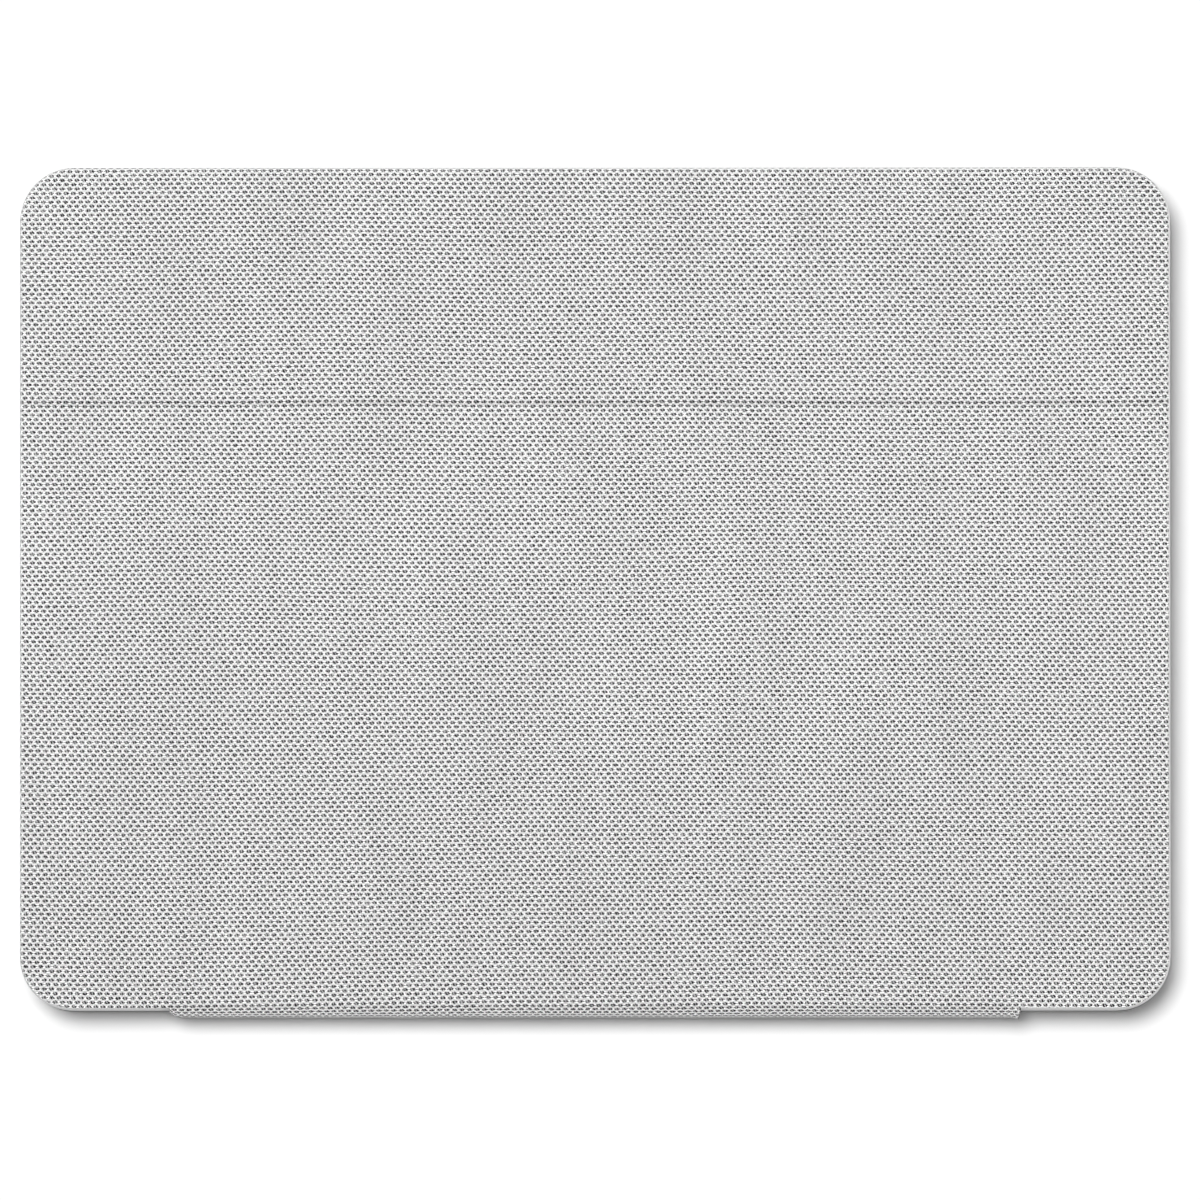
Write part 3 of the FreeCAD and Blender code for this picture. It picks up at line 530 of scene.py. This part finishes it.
M_WOVEN = woven()
M_LINING = microfibre("lining_microfibre", 0.215)
M_PAD = microfibre("pad_microfibre", 0.185)
NODE_MATERIAL = {
    "outer_fabric": M_WOVEN,
    "inner_lining": microfibre("lining_microfibre_flat", 0.215, uv=False),
    "foot_pad": microfibre("pad_microfibre_flat", 0.185, uv=False),
    "stiffener_board": fibreboard(),
    "magnet": metal("nickel_plate", (0.62, 0.62, 0.60), 0.28),
    "tray_plastic": moulded("tray_plastic", (0.075, 0.075, 0.078), 0.56),
    "button_plastic": moulded("button_plastic", (0.085, 0.085, 0.088), 0.48),
    "camera_trim": moulded("camera_trim", (0.045, 0.045, 0.047), 0.42),
    "keyboard_case": moulded("keyboard_case", (0.16, 0.16, 0.164), 0.54),
    "keyboard_deck": moulded("keyboard_deck", (0.33, 0.33, 0.335), 0.50),
    "keycap": moulded("keycap_plastic", (0.60, 0.60, 0.605), 0.60, grain=5.0, depth=0.03),
    "support_steel": metal("rolled_steel", (0.50, 0.50, 0.50)),
    "membrane_film": film(),
    "dome_rubber": rubber("dome_silicone", 0.62, 0.5),
    "circuit_board": circuit(),
    "battery_foil": foil(),
    "connector_steel": metal("connector_plate", (0.60, 0.60, 0.59), 0.25),
    "screw_steel": metal("screw_steel", (0.16, 0.16, 0.165), 0.38),
    "light_pipe": light_pipe(),
    "bumper_rubber": rubber("bumper_rubber", 0.07),
    "switch_plastic": moulded("switch_plastic", (0.10, 0.10, 0.102), 0.5),
}
for s in frame["record"]["subparts"]:
    ob = frame["nodes"][s["node"]]
    ob.data.materials.clear()
    ob.data.materials.append(NODE_MATERIAL[s["material_slot"]])


# ---------------------------------------------------------------- outer cloth: front cover
def band_from(nx, ny):
    """Where on the edge's rounding the weave ends in a smooth pressed rim, as a share of the rounding."""
    return 0.80 - 0.62 * max(0.0, -ny) ** 2 - 0.36 * max(0.0, nx) ** 2


def groove(y):
    """Depth of the crease at y."""
    t = abs(y - Y_CREASE) / 1.3
    return 0.30 * (0.5 + 0.5 * math.cos(math.pi * t)) if t < 1 else 0.0


# painted shade in the crease: how strongly the weave is darkened at y
def crease_shade(y):
    return math.exp(-((y - Y_CREASE - 0.02) / 0.62) ** 4)


def edge_profile(top, low, tuck):
    """Profile of a wrapped edge from the flat face: rounding, side, turned-in lip. top and low are levels; both may be mirrored."""
    sign = 1.0 if top > low else -1.0

    def rows(q):
        zt, zl = top, low
        tone = 0.0
        if sign > 0 and abs(q[1] - Y_CREASE) < 3.3:
            zt = top - groove(q[1])
            # painted shade: the crease's darkening runs on over the edge
            tone = crease_shade(q[1])
            wall = smooth(1.0, 1.7, abs(q[1] - Y_CREASE))
            zl = (zt - 0.5) * (1 - wall) + low * wall
        h = abs(zt - zl)
        ry = min(EDGE_R, 0.85 * h)
        # dim paints shade on edges facing -Y, turned from the light; pale fades the cells over the rounding, partly
        # into the pressed rim and partly painted light, and is left off the edges painted darker
        b0, dim = band_from(q[2], q[3]), max(0.0, -q[3]) ** 2
        out = []
        for i in range(8):
            a = math.radians(90 * i / 7)
            d = EDGE_R * math.sin(a)
            out.append((d, zt - sign * ry * (1 - math.cos(a)), {"band": smooth(b0 - 0.10, b0 + 0.12, i / 7), "fold": tone, "dim": dim, "pale": 0.7 * (1 - dim) * smooth(0.0, 0.6, i / 7)}))
        # the turned-in lip runs up under the edge of what lies on it
        lift = min(0.3, 0.2 * h) if sign > 0 else 0.0
        for d, drop in ((EDGE_R, h - min(0.25, 0.1 * h)), (EDGE_R - 0.08, h - 0.04), (EDGE_R - 0.3, h), (EDGE_R - 0.70, h), (EDGE_R - 0.84, h - lift), (EDGE_R - tuck, h - lift)):
            # painted shade: the side and the turned-in lip are darkened, dim at least 0.6
            out.append((d, zt - sign * drop, {"band": 1.0, "dim": max(dim, 0.6)}))
        return out

    return rows


def with_support(shape, chain, level, mat=0, inward=0.4, uv=None, at=None):
    """A narrow flat strip along a chain, so that the flat face stays evenly shaded. Returns the inner line."""
    inner = [(q[0] - q[2] * inward, q[1] - q[3] * inward) for q in chain]
    zf = level if callable(level) else (lambda y: level)
    for a, b, ia, ib in zip(chain, chain[1:], inner, inner[1:]):
        pts = [(ia[0], ia[1]), (a[0], a[1]), (b[0], b[1]), (ib[0], ib[1])]
        shape.face([shape.p(x, y, zf(y), uv(x, y) if uv else None, **(at(y) if at else {})) for x, y in pts], mat)
    return inner


INS = EDGE_R
RAD = R_COR - INS
Y_HEM = Y_REAR - 0.12                         # the cloth's rear edge, turned over the boards
LX, RX, BY, TY = -HX + INS, HX - INS, Y_HEM + INS, Y_TOP - INS


def cap_end(shape, row, mat=0):
    """Closes the end of a swept edge."""
    shape.face(row, mat)


def cover_cloth():
    s = Shape()
    left = join(line(LX, SEAM_C, LX, Y_HEM + R_COR, 20, -1, 0), arc(-HX + R_COR, Y_HEM + R_COR, RAD, 180, 270, 16), line(-HX + R_COR, BY, -SP_X, BY, 6, 0, -1))
    right = [(-x, y, -nx, ny) for x, y, nx, ny in reversed(left)]
    prof = edge_profile(Z_TOP, Z_LIN, 1.6)
    for chain in (left, right):
        rows = ring(s, chain, prof)
        end = rows[-1] if chain is left else list(reversed(rows[0]))
        cap_end(s, end)
    il, ir = with_support(s, left, Z_TOP), with_support(s, right, Z_TOP)
    xs = np.linspace(il[0][0], ir[-1][0], 41)
    notch = [(-SP_X, Y_SEAM)] + [(x, Y_SEAM) for x in np.linspace(-SP_X, SP_X, 32)[1:-1]] + [(SP_X, Y_SEAM)]
    outer = il + notch + ir + [(x, SEAM_C) for x in xs[::-1][1:-1]]
    fill(s, outer, [], Z_TOP, 9.0)
    ob = s.make("cover_cloth", [M_WOVEN])
    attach(ob, "cover_panel")
    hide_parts("cover_fabric")
    return xs


def flap_cloth(xs):
    s = Shape()
    ys = [Y_CREASE + d for d in (-3.2, -2.4, -1.9, -1.6, -1.45, -1.3, -1.15, -1.0, -0.8, -0.6, -0.4, -0.2, 0.0, 0.2, 0.4, 0.6, 0.8, 1.0, 1.15, 1.3, 1.45, 1.6, 1.9, 2.4, 3.2)]
    up = [(RX, y, 1.0, 0.0) for y in ys]
    chain = join(up, line(RX, ys[-1], RX, Y_TOP - R_COR, 7, 1, 0), arc(HX - R_COR, Y_TOP - R_COR, RAD, 0, 90, 16), line(HX - R_COR, TY, -HX + R_COR, TY, 36, 0, 1),
                 arc(-HX + R_COR, Y_TOP - R_COR, RAD, 90, 180, 16), line(LX, Y_TOP - R_COR, LX, ys[-1], 7, -1, 0), [(LX, y, -1.0, 0.0) for y in reversed(ys)])
    ring(s, chain, edge_profile(Z_TOP, Z_LIN, 1.6))
    level = lambda y: Z_TOP - groove(y)
    # painted shade: the crease's rows carry fold, which darkens the weave there
    inner = with_support(s, chain, level, at=lambda y: {"fold": crease_shade(y)})
    for y0, y1 in zip(ys, ys[1:]):
        for x0, x1 in zip(xs, xs[1:]):
            s.face([s.p(x, y, level(y), None, fold=crease_shade(y)) for x, y in ((x0, y0), (x1, y0), (x1, y1), (x0, y1))])
    n = len(ys)
    mid = inner[n - 1:len(inner) - n + 1]
    fill(s, mid + [(x, ys[-1]) for x in xs[1:-1]], [], Z_TOP, 9.0)
    ob = s.make("flap_cloth", [M_WOVEN])
    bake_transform(ob)
    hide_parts("flap_fabric")


def spine_profile():
    """Half of the spine's section, seen along +X: the outer line from the panel to mid height, and the inner line back."""
    out = [(Y_SEAM, Z_TOP), (-89.4, Z_TOP), (-89.9, Z_TOP), (-90.25, Z_TOP - 0.02), (-90.5, Z_TOP - 0.07), (-90.7, Z_TOP - 0.15), (-90.85, Z_TOP - 0.22)]
    p0, p1, p2, p3 = (-90.95, Z_TOP - 0.26), (-92.50, Z_TOP - 1.17), (Y_SPINE - 0.01, Z_TOP - 1.50), (Y_SPINE, Z_TOP - 2.9)
    out += [(p0[0] + (p1[0] - p0[0]) * i / 7, p0[1] + (p1[1] - p0[1]) * i / 7) for i in range(7)]
    for i in range(11):
        t = i / 10
        out.append(tuple((1 - t) ** 2 * p1[j] + 2 * t * (1 - t) * p2[j] + t * t * p3[j] for j in (0, 1)))
    out += [(Y_SPINE, z) for z in (14.6, 14.0, 13.3)]
    out += [(Y_SPINE, z) for z in (12.4, 11.4, 10.4, Z_TOP / 2)]
    inner = [(-91.35, Z_TOP / 2), (-91.35, 11.0), (-91.35, 13.6), (-91.33, 15.2), (-91.22, 16.3), (-91.02, 17.05), (-90.75, 17.45), (-90.4, 17.58), (-89.8, 17.6), (Y_SEAM, 17.6)]
    return out, inner


def spine_half(name, upper):
    s = Shape()
    out, inner = spine_profile()
    run, dev = 0.0, [0.0]
    for a, b in zip(out, out[1:]):
        step = math.hypot(b[0] - a[0], b[1] - a[1])
        run += step
        # over the round of the spine the rows are pressed closer and closer together
        close = np.interp(0.5 * (a[0] + b[0]), (-93.05, -92.88, -92.47, -91.94, -91.28, -90.6, -90.0), (2.8, 2.6, 2.0, 1.52, 1.33, 1.08, 1.0))
        dev.append(dev[-1] + max(step, float(close) * (a[0] - b[0])))
    rho_l, rho_r = 2.8, 3.0
    xs = sorted(set([round(-SP_X + rho_l * (1 - math.cos(math.radians(a))), 4) for a in range(0, 91, 9)] + [round(x, 4) for x in np.linspace(-SP_X + rho_l, SP_X - rho_r, 34)]
                    + [round(SP_X - rho_r * (1 - math.cos(math.radians(a))), 4) for a in range(0, 91, 9)]))
    zz = (lambda z: z) if upper else (lambda z: Z_TOP - z)
    yc = -90.95
    rows = []
    for x in xs:
        f, slant = 1.0, 0.0
        if x < -SP_X + rho_l:
            e = (-SP_X + rho_l - x) / rho_l
            f = 0.24 + 0.76 * math.sqrt(max(0.0, 1 - e * e))
        elif x > SP_X - rho_r:
            slant = smooth(0.0, 1.0, (x - SP_X + rho_r) / rho_r)
        row = []
        for (y, z), d in zip(out, dev):
            deep = (yc - y) / (yc - Y_SPINE) if y < yc else 0.0
            yy = yc + (y - yc) * f - 0.3 * slant ** 2 * deep if y < yc else y
            v = Y_SEAM - d if upper else Y_SEAM - 2 * dev[-1] + d
            # painted shade along the fold into the spine and over the spine's round, where it turns from the light;
            # pale paints the cells lighter over the round, painted light, so the weave greys there
            tone = 0.6 * math.exp(-((y - yc - 0.15) / 0.34) ** 2) if abs(y - yc) < 1.2 and z > 15 else 0.0
            near = smooth(12.0, 15.0, z)
            tone = max(tone, 0.58 * near * smooth(0.1, 0.5, deep))
            row.append(s.p(x - 0.7 * slant * deep, yy, zz(z), (x, v), fold=tone, pale=0.46 * near * smooth(0.4, 1.0, deep)))
        for y, z in inner:
            row.append(s.p(x, y, zz(z), (x, y + z), press=0.0))
        rows.append(row)
    n, no = len(rows[0]), len(out)
    for a, b in zip(rows, rows[1:]):
        for j in range(n):
            k = (j + 1) % n
            s.face([a[j], a[k], b[k], b[j]] if upper else [a[k], a[j], b[j], b[k]], 0 if j < no - 1 else 1, apart=j in (no - 1, n - 1))
    s.face(rows[0] if not upper else list(reversed(rows[0])), 0)
    s.face(list(reversed(rows[-1])) if not upper else rows[-1], 0)
    ob = s.make(name, [M_WOVEN, M_LINING], sharp=50)
    d = 0.75
    if upper:
        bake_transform(ob)
        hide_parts("spine_fabric", "spine_lining", "spine_upper_hinge")
    else:
        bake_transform(ob)
        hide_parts("spine_lower_hinge")
    return dev[-1]


def back_cloth(run):
    s = Shape()
    chain = join(line(SP_X, BY, HX - R_COR, BY, 6, 0, -1), arc(HX - R_COR, Y_HEM + R_COR, RAD, -90, 0, 16), line(RX, Y_HEM + R_COR, RX, Y_TOP - R_COR, 27, 1, 0),
                 arc(HX - R_COR, Y_TOP - R_COR, RAD, 0, 90, 16), line(HX - R_COR, TY, -HX + R_COR, TY, 36, 0, 1), arc(-HX + R_COR, Y_TOP - R_COR, RAD, 90, 180, 16),
                 line(LX, Y_TOP - R_COR, LX, Y_HEM + R_COR, 27, -1, 0), arc(-HX + R_COR, Y_HEM + R_COR, RAD, 180, 270, 16), line(-HX + R_COR, BY, -SP_X, BY, 6, 0, -1))
    v0 = Y_SEAM - 2 * run
    uv = lambda x, y: (x, v0 - (y - Y_SEAM))
    rows = ring(s, chain, edge_profile(0.0, Z_TRAY, 1.0), uv=lambda q, r: uv(q[0] + q[2] * r, q[1] + q[3] * r))
    cap_end(s, list(reversed(rows[0])))
    cap_end(s, rows[-1])
    inner = with_support(s, chain, 0.0, uv=uv)
    hole = rounded_loop(CAM_X - 13, CAM_X + 13, CAM_Y - 13, CAM_Y + 13, 8.0, -0.35, 12, 3.0)
    fill(s, inner + [(x, Y_SEAM) for x in np.linspace(-SP_X, SP_X, 32)], [hole], 0.0, 9.0, uv=uv)
    lip = [(q[0], q[1], -q[2], -q[3]) for q in reversed(hole)]
    ring(s, lip, lambda q: [(0.35 * math.sin(math.radians(a)), 0.35 * (1 - math.cos(math.radians(a))), {"band": smooth(20, 60, a)}) for a in range(0, 91, 15)] + [(0.35, 0.5, {"band": 1.0})],
         closed=True, uv=lambda q, r: uv(q[0] + q[2] * r, q[1] + q[3] * r))
    ob = s.make("back_cloth", [M_WOVEN], flip=True)
    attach(ob, "back_shell")
    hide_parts("back_fabric")


# ---------------------------------------------------------------- linings
def lining(name, loop_of, holes, level, base, up, node, body, notch=None, press_at=(4.2,), depth=0.16):
    """A lining sheet on its board: soft edge, and a pressed line round it. loop_of(inset) gives its outline; level is its face and base the board."""
    s = Shape()
    sign = 1.0 if up else -1.0
    r = 0.32
    outline = loop_of(r)
    ring(s, outline, lambda q: [(r * math.sin(math.radians(a)), level - sign * r * (1 - math.cos(math.radians(a))), {}) for a in range(0, 91, 15)] + [(r, base, {})], closed=True)
    rounds = [(r, 0.0), (r + 0.4, 0.0)]
    for at in press_at:
        rounds += [(at + d, share) for d, share in ((-1.2, 0.0), (-0.8, 0.0), (-0.55, 0.18), (-0.3, 0.72), (0.0, 1.0), (0.3, 0.72), (0.55, 0.18), (0.8, 0.0), (1.2, 0.0))]
    loops = [[s.p(q[0], q[1], level - sign * depth * share, press=share) for q in loop_of(i)] for i, share in rounds]
    for a, b in zip(loops, loops[1:]):
        for i in range(len(a)):
            j = (i + 1) % len(a)
            s.face([b[i], a[i], a[j], b[j]])
    fill(s, loop_of(rounds[-1][0]), holes, level, 10.0)
    for h in holes:
        lip = [(q[0], q[1], -q[2], -q[3]) for q in reversed(h)]
        ring(s, lip, lambda q: [(0.25 * math.sin(math.radians(a)), level - sign * 0.25 * (1 - math.cos(math.radians(a))), {}) for a in range(0, 91, 30)] + [(0.25, base, {})], closed=True)
    ob = s.make(name, [M_LINING], flip=not up)
    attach(ob, body)
    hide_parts(node)
    return ob


def cover_loop(inset):
    """Main panel's lining outline with the spine's recess, counter-clockwise."""
    i = 0.75 + inset
    lx, by, rad = -HX + i, Y_REAR + i, R_COR - i
    yn = Y_FOLD + 0.15 + i
    half = join(line(lx, Y_CREASE - 1.2 - inset, lx, Y_REAR + R_COR, 16, -1, 0), arc(-HX + R_COR, Y_REAR + R_COR, rad, 180, 270, 14), line(-HX + R_COR, by, -SP_X - 0.5 - i, by, 4, 0, -1))
    bottom = [(q[0], q[1], 0.0, -1.0) for q in line(-SP_X - 0.5 - i, yn, SP_X + 0.5 + i, yn, 30, 0, -1)]
    right = [(-x, y, -nx, ny) for x, y, nx, ny in reversed(half)]
    yt = Y_CREASE - 1.2 - inset
    top = line(HX - i, yt, -HX + i, yt, 40, 0, 1)
    return join(half, bottom, right, top)[:-1]


def flap_loop(inset):
    i = 0.75 + inset
    rad = R_COR - i
    y0 = Y_CREASE + 1.2 + inset
    return join(line(-HX + i, y0, HX - i, y0, 40, 0, -1), line(HX - i, y0, HX - i, Y_TOP - R_COR, 6, 1, 0), arc(HX - R_COR, Y_TOP - R_COR, rad, 0, 90, 14),
                line(HX - R_COR, Y_TOP - i, -HX + R_COR, Y_TOP - i, 36, 0, 1), arc(-HX + R_COR, Y_TOP - R_COR, rad, 90, 180, 14), line(-HX + i, Y_TOP - R_COR, -HX + i, y0, 6, -1, 0))[:-1]


def tray_loop(inset):
    return rounded_loop(-123.7, 123.7, Y_MID - 89.15, Y_MID + 89.15, 9.3, inset, 12, 6.0)


def crease_strip():
    """The inner cloth in the crease: it dips between the two boards to the outer cloth."""
    s = Shape()
    half = [(-5.2, 16.58), (-3.4, 16.58), (-1.9, 16.58), (-1.45, 16.58), (-1.15, 16.66), (-1.0, 16.85), (-0.93, 17.05), (-0.78, 17.16), (-0.5, 17.2), (-0.2, 17.22)]
    sec = half + [(0.0, 17.22)] + [(-d, z) for d, z in reversed(half)]
    xs = np.linspace(-HX + 1.1, HX - 1.1, 31)
    rows = [[s.p(x, Y_CREASE + d, z, (x, d * 1.6)) for d, z in sec] for x in xs]
    for a, b in zip(rows, rows[1:]):
        for j in range(len(sec) - 1):
            s.face([a[j], a[j + 1], b[j + 1], b[j]])
    ob = s.make("crease_lining", [M_LINING])
    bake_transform(ob)
    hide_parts("crease_hinge")


def foot_pad():
    """The padded foot under the end flap: a welded rim, soft sides and a face with two pressed channels."""
    s = Shape()
    x0, x1, y0, y1 = -HX + 9.0, HX - 9.0, Y_CREASE + 5.0, Y_TOP - 6.0
    loop = rounded_loop(x0, x1, y0, y1, 6.0, 6.4, 10, 4.0)
    base, crown = Z_LIN - 0.02, 10.62

    def side(q):
        steps = ((0.0, crown + 0.10), (0.9, crown + 0.16), (1.9, crown + 0.30), (2.8, crown + 0.52), (3.6, crown + 0.86), (4.2, crown + 1.34), (4.62, crown + 1.95), (4.85, crown + 2.7), (4.88, crown + 3.5), (4.76, crown + 4.2),
                 (4.55, crown + 4.62), (4.60, crown + 4.86), (5.2, crown + 4.92), (6.0, crown + 4.94), (6.3, crown + 5.02), (6.4, crown + 5.2), (6.4, base))
        return [(d, z, {"press": 0.9 if 4.5 < d < 4.7 and z > crown + 4.4 else 0.0}) for d, z in steps]

    ring(s, loop, side, closed=True)
    chans = [y0 + (y1 - y0) * t for t in (0.36, 0.64)]

    def level(x, y):
        edge = min(x - (x0 + 6.4), (x1 - 6.4) - x, y - (y0 + 6.4), (y1 - 6.4) - y)
        z = crown + 0.10 - 0.10 * smooth(0.0, 7.0, edge)
        end = smooth(109.0, 104.0, abs(x))
        for c in chans:
            z += 0.55 * end * math.exp(-((y - c) / 0.75) ** 2)
        return z

    def tone(x, y):
        end = smooth(109.0, 104.0, abs(x))
        return {"press": max(end * math.exp(-((y - c) / 0.6) ** 2) for c in chans)}

    extra = [(x, c + d) for c in chans for d in (-2.2, -1.6, -1.2, -0.9, -0.6, -0.3, 0.0, 0.3, 0.6, 0.9, 1.2, 1.6, 2.2) for x in np.arange(-109.5, 109.6, 2.4)]
    fill(s, loop, [], level, 3.2, extra=extra, at=tone)
    ob = s.make("foot_pad", [M_PAD], flip=True)
    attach(ob, "cover_flap")
    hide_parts("flap_foot_pad")


xs_seam = cover_cloth()
flap_cloth(xs_seam)
half_run = spine_half("spine_cloth_upper", True)
spine_half("spine_cloth_lower", False)
back_cloth(half_run)
lining("cover_lining_cloth", cover_loop, [], Z_LIN, Z_BOARD, False, "cover_lining", "cover_panel")
lining("flap_lining_cloth", flap_loop, [], Z_LIN, Z_BOARD, False, "flap_lining", "cover_flap")
lining("tray_lining_cloth", tray_loop, [rounded_loop(CAM_X - 13.5, CAM_X + 13.5, CAM_Y - 13.5, CAM_Y + 13.5, 8.5, -0.25, 10, 4.0)], 2.9, 2.5, True, "tray_lining", "back_shell", press_at=(5.0,))
crease_strip()
foot_pad()

# ---------------------------------------------------------------- key legends
U, GAP, KF = 16.5, 2.4, 9.6
KEY_X0, KEY_Y0 = -14.5 * U / 2, -67.3
M_INK = legend()


def rows_of_keys():
    """(node, text lines, centre x, centre y, width, depth) of every key that carries a legend."""
    out = []

    def row(y, depth, items):
        x = KEY_X0
        for node, text, units in items:
            w = units * U
            if node:
                out.append((node, text, x + w / 2, y, w - GAP, depth - GAP))
            x += w

    one = lambda node, texts: [(node, t, 1) for t in texts]
    row(KEY_Y0 + KF / 2, KF + 0.2, [("function_keys", t, 14.5 / 14) for t in ["esc"] + ["F%d" % i for i in range(1, 13)] + ["del"]])
    y = KEY_Y0 + KF + U / 2
    row(y, U, one("number_keys", ["~\n`", "!\n1", "@\n2", "#\n3", "$\n4", "%\n5", "^\n6", "&\n7", "*\n8", "(\n9", ")\n0", "_\n-", "+\n="]) + [("backspace_key", "backspace", 1.5)])
    row(y + U, U, [("tab_key", "tab", 1.5)] + one("upper_letter_keys", list("QWERTYUIOP") + ["{\n[", "}\n]", "|\n\\"]))
    row(y + 2 * U, U, [("caps_lock_key", "caps lock", 1.75)] + one("home_letter_keys", list("ASDFGHJKL") + [":\n;", "\"\n'"]) + [("return_key", "enter", 1.75)])
    row(y + 3 * U, U, [("left_shift_key", "shift", 2.25)] + one("lower_letter_keys", list("ZXCVBNM") + ["<\n,", ">\n.", "?\n/"]) + [("right_shift_key", "shift", 2.25)])
    row(y + 4 * U, U, [("function_shift_key", "fn", 1), ("control_key", "ctrl", 1), ("left_alt_key", "alt", 1), ("left_command_key", "cmd", 1.25), (None, "", 5), ("right_command_key", "cmd", 1.25), ("right_alt_key", "alt", 1),
                       ("left_arrow_key", "<left", 1), (None, "", 1), ("right_arrow_key", "<right", 1)])
    yb = y + 4 * U
    out.append(("up_arrow_key", "<up", KEY_X0 + 13 * U, yb - U / 4 + 0.3, U - GAP, U / 2 - 2.0))
    out.append(("down_arrow_key", "<down", KEY_X0 + 13 * U, yb + U / 4 - 0.3, U - GAP, U / 2 - 2.0))
    return out


_glyphs = {}


def glyphs(text, size):
    """Closed mesh of one line of plain text, centred, as (points, faces)."""
    if (text, size) not in _glyphs:
        cu = bpy.data.curves.new("legend_text", "FONT")
        cu.body, cu.size, cu.align_x, cu.align_y = text, size, "CENTER", "CENTER"
        cu.extrude, cu.resolution_u = 0.012, 3
        ob = bpy.data.objects.new("legend_text", cu)
        bpy.context.scene.collection.objects.link(ob)
        bpy.context.view_layer.update()
        me = bpy.data.meshes.new_from_object(ob.evaluated_get(bpy.context.evaluated_depsgraph_get()))
        pts, faces = [tuple(v.co) for v in me.vertices], [list(p.vertices) for p in me.polygons]
        bpy.data.objects.remove(ob)
        bpy.data.curves.remove(cu)
        bpy.data.meshes.remove(me)
        ys = [q[1] for q in pts]
        mid = (min(ys) + max(ys)) / 2 if text not in "_-,.'`~^*\"" else 0.0
        _glyphs[(text, size)] = ([(x, y - mid, z) for x, y, z in pts], faces)
    return _glyphs[(text, size)]


def arrow(kind):
    a, h = 1.35, 0.012
    base = {"<up": [(-a, -0.7), (a, -0.7), (0, 1.0)], "<down": [(a, 0.7), (-a, 0.7), (0, -1.0)], "<left": [(0.8, -a), (0.8, a), (-1.0, 0)], "<right": [(-0.8, a), (-0.8, -a), (1.0, 0)]}[kind]
    pts = [(x, y, h) for x, y in base] + [(x, y, -h) for x, y in base]
    return pts, [[0, 1, 2], [5, 4, 3], [0, 3, 4, 1], [1, 4, 5, 2], [2, 5, 3, 0]]


legends = {}
for node, text, cx, cy, w, d in rows_of_keys():
    s = legends.setdefault(node, Shape())
    items = []
    if text.startswith("<") and len(text) > 2 and text[1] in "udlr":
        items.append((arrow(text), 0.0, 0.0))
    elif "\n" in text:
        a, b = text.split("\n")
        items += [(glyphs(a, 4.1), 0.0, 2.75), (glyphs(b, 4.1), 0.0, -2.75)]
    elif len(text) == 1:
        items.append((glyphs(text, 5.2), 0.0, 0.0))
    else:
        size = 2.7 if d < 10 else 3.0
        if node in ("tab_key", "caps_lock_key", "left_shift_key"):
            g = glyphs(text, size)
            left = min(q[0] for q in g[0])
            items.append((g, -w / 2 + 1.9 - left, -d / 2 + 2.6))
        elif node in ("backspace_key", "return_key", "right_shift_key"):
            g = glyphs(text, size)
            right = max(q[0] for q in g[0])
            items.append((g, w / 2 - 1.9 - right, -d / 2 + 2.6))
        else:
            items.append((glyphs(text, size), 0.0, 0.0 if d < 10 else -d / 2 + 2.9))
    for (pts, faces), ox, oy in items:
        # seen from the keys' side: text up is -Y, and its front is -Z
        ids = [s.p(cx + x + ox, cy - (y + oy), Z_KEY - 0.004 - z, (x, y)) for x, y, z in pts]
        for f in faces:
            s.face([ids[i] for i in f])
for node, s in legends.items():
    ob = s.make(node + "_legends", [M_INK], sharp=30, one_map=False)
    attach(ob, node)

# ---------------------------------------------------------------- floor, light and camera
floor = bpy.data.objects.new("floor", bpy.data.meshes.new("floor"))
floor.data.from_pydata([(-6, -6, -0.0002), (6, -6, -0.0002), (6, 6, -0.0002), (-6, 6, -0.0002)], [], [(0, 1, 2, 3)])
km = Mat("floor_paint", rough=0.9, spec=0.1)
floor.data.materials.append(km.set(Base_Color=km.grey(km.remap(km.noise(km.place(), 0.004, 2.0), 0.3, 0.7, 0.860, 0.872, "LINEAR"))))
bpy.context.scene.collection.objects.link(floor)

world = bpy.data.worlds.new("studio")
world.use_nodes = True
bg = world.node_tree.nodes["Background"]
bg.inputs["Color"].default_value = (1.0, 1.0, 1.0, 1.0)
bg.inputs["Strength"].default_value = 0.08
bpy.context.scene.world = world

for name, energy, angle, way in (("key_light", 2.6, 16.0, (0.112, -0.138, -1.0)), ("top_light", 0.88, 18.0, (0.0, 0.001, -1.0))):
    data = bpy.data.lights.new(name, "SUN")
    data.energy, data.angle = energy, math.radians(angle)
    lamp = bpy.data.objects.new(name, data)
    lamp.rotation_mode = "QUATERNION"
    lamp.rotation_quaternion = Vector(way).to_track_quat("-Z", "Y")
    bpy.context.scene.collection.objects.link(lamp)

scene = bpy.context.scene
scene.view_settings.view_transform = "Standard"
scene.view_settings.look = "None"
scene.cycles.filter_width = 0.7

cam_data = bpy.data.cameras.new("camera")
cam_data.sensor_width = 36.0
cam_data.lens = 900.0
cam = bpy.data.objects.new("camera", cam_data)
target = Vector((1.1, -1.75, Z_TOP)) * MM
tilt_x, tilt_y = math.radians(0.8), math.radians(1.7)
back = Vector((math.sin(tilt_x), -math.sin(tilt_y), 1.0)).normalized()
cam.location = target + back * (0.2628 * cam_data.lens / cam_data.sensor_width)
right = Vector((0.0, 1.0, 0.0)).cross(back).normalized()
cam.matrix_world = Matrix.Translation(cam.location) @ Matrix((right, back.cross(right), back)).transposed().to_4x4()
cam_data.clip_start, cam_data.clip_end = 0.05, 50.0
scene.collection.objects.link(cam)
scene.camera = cam

# ---------------------------------------------------------------- scene update
bpy.context.view_layer.update()
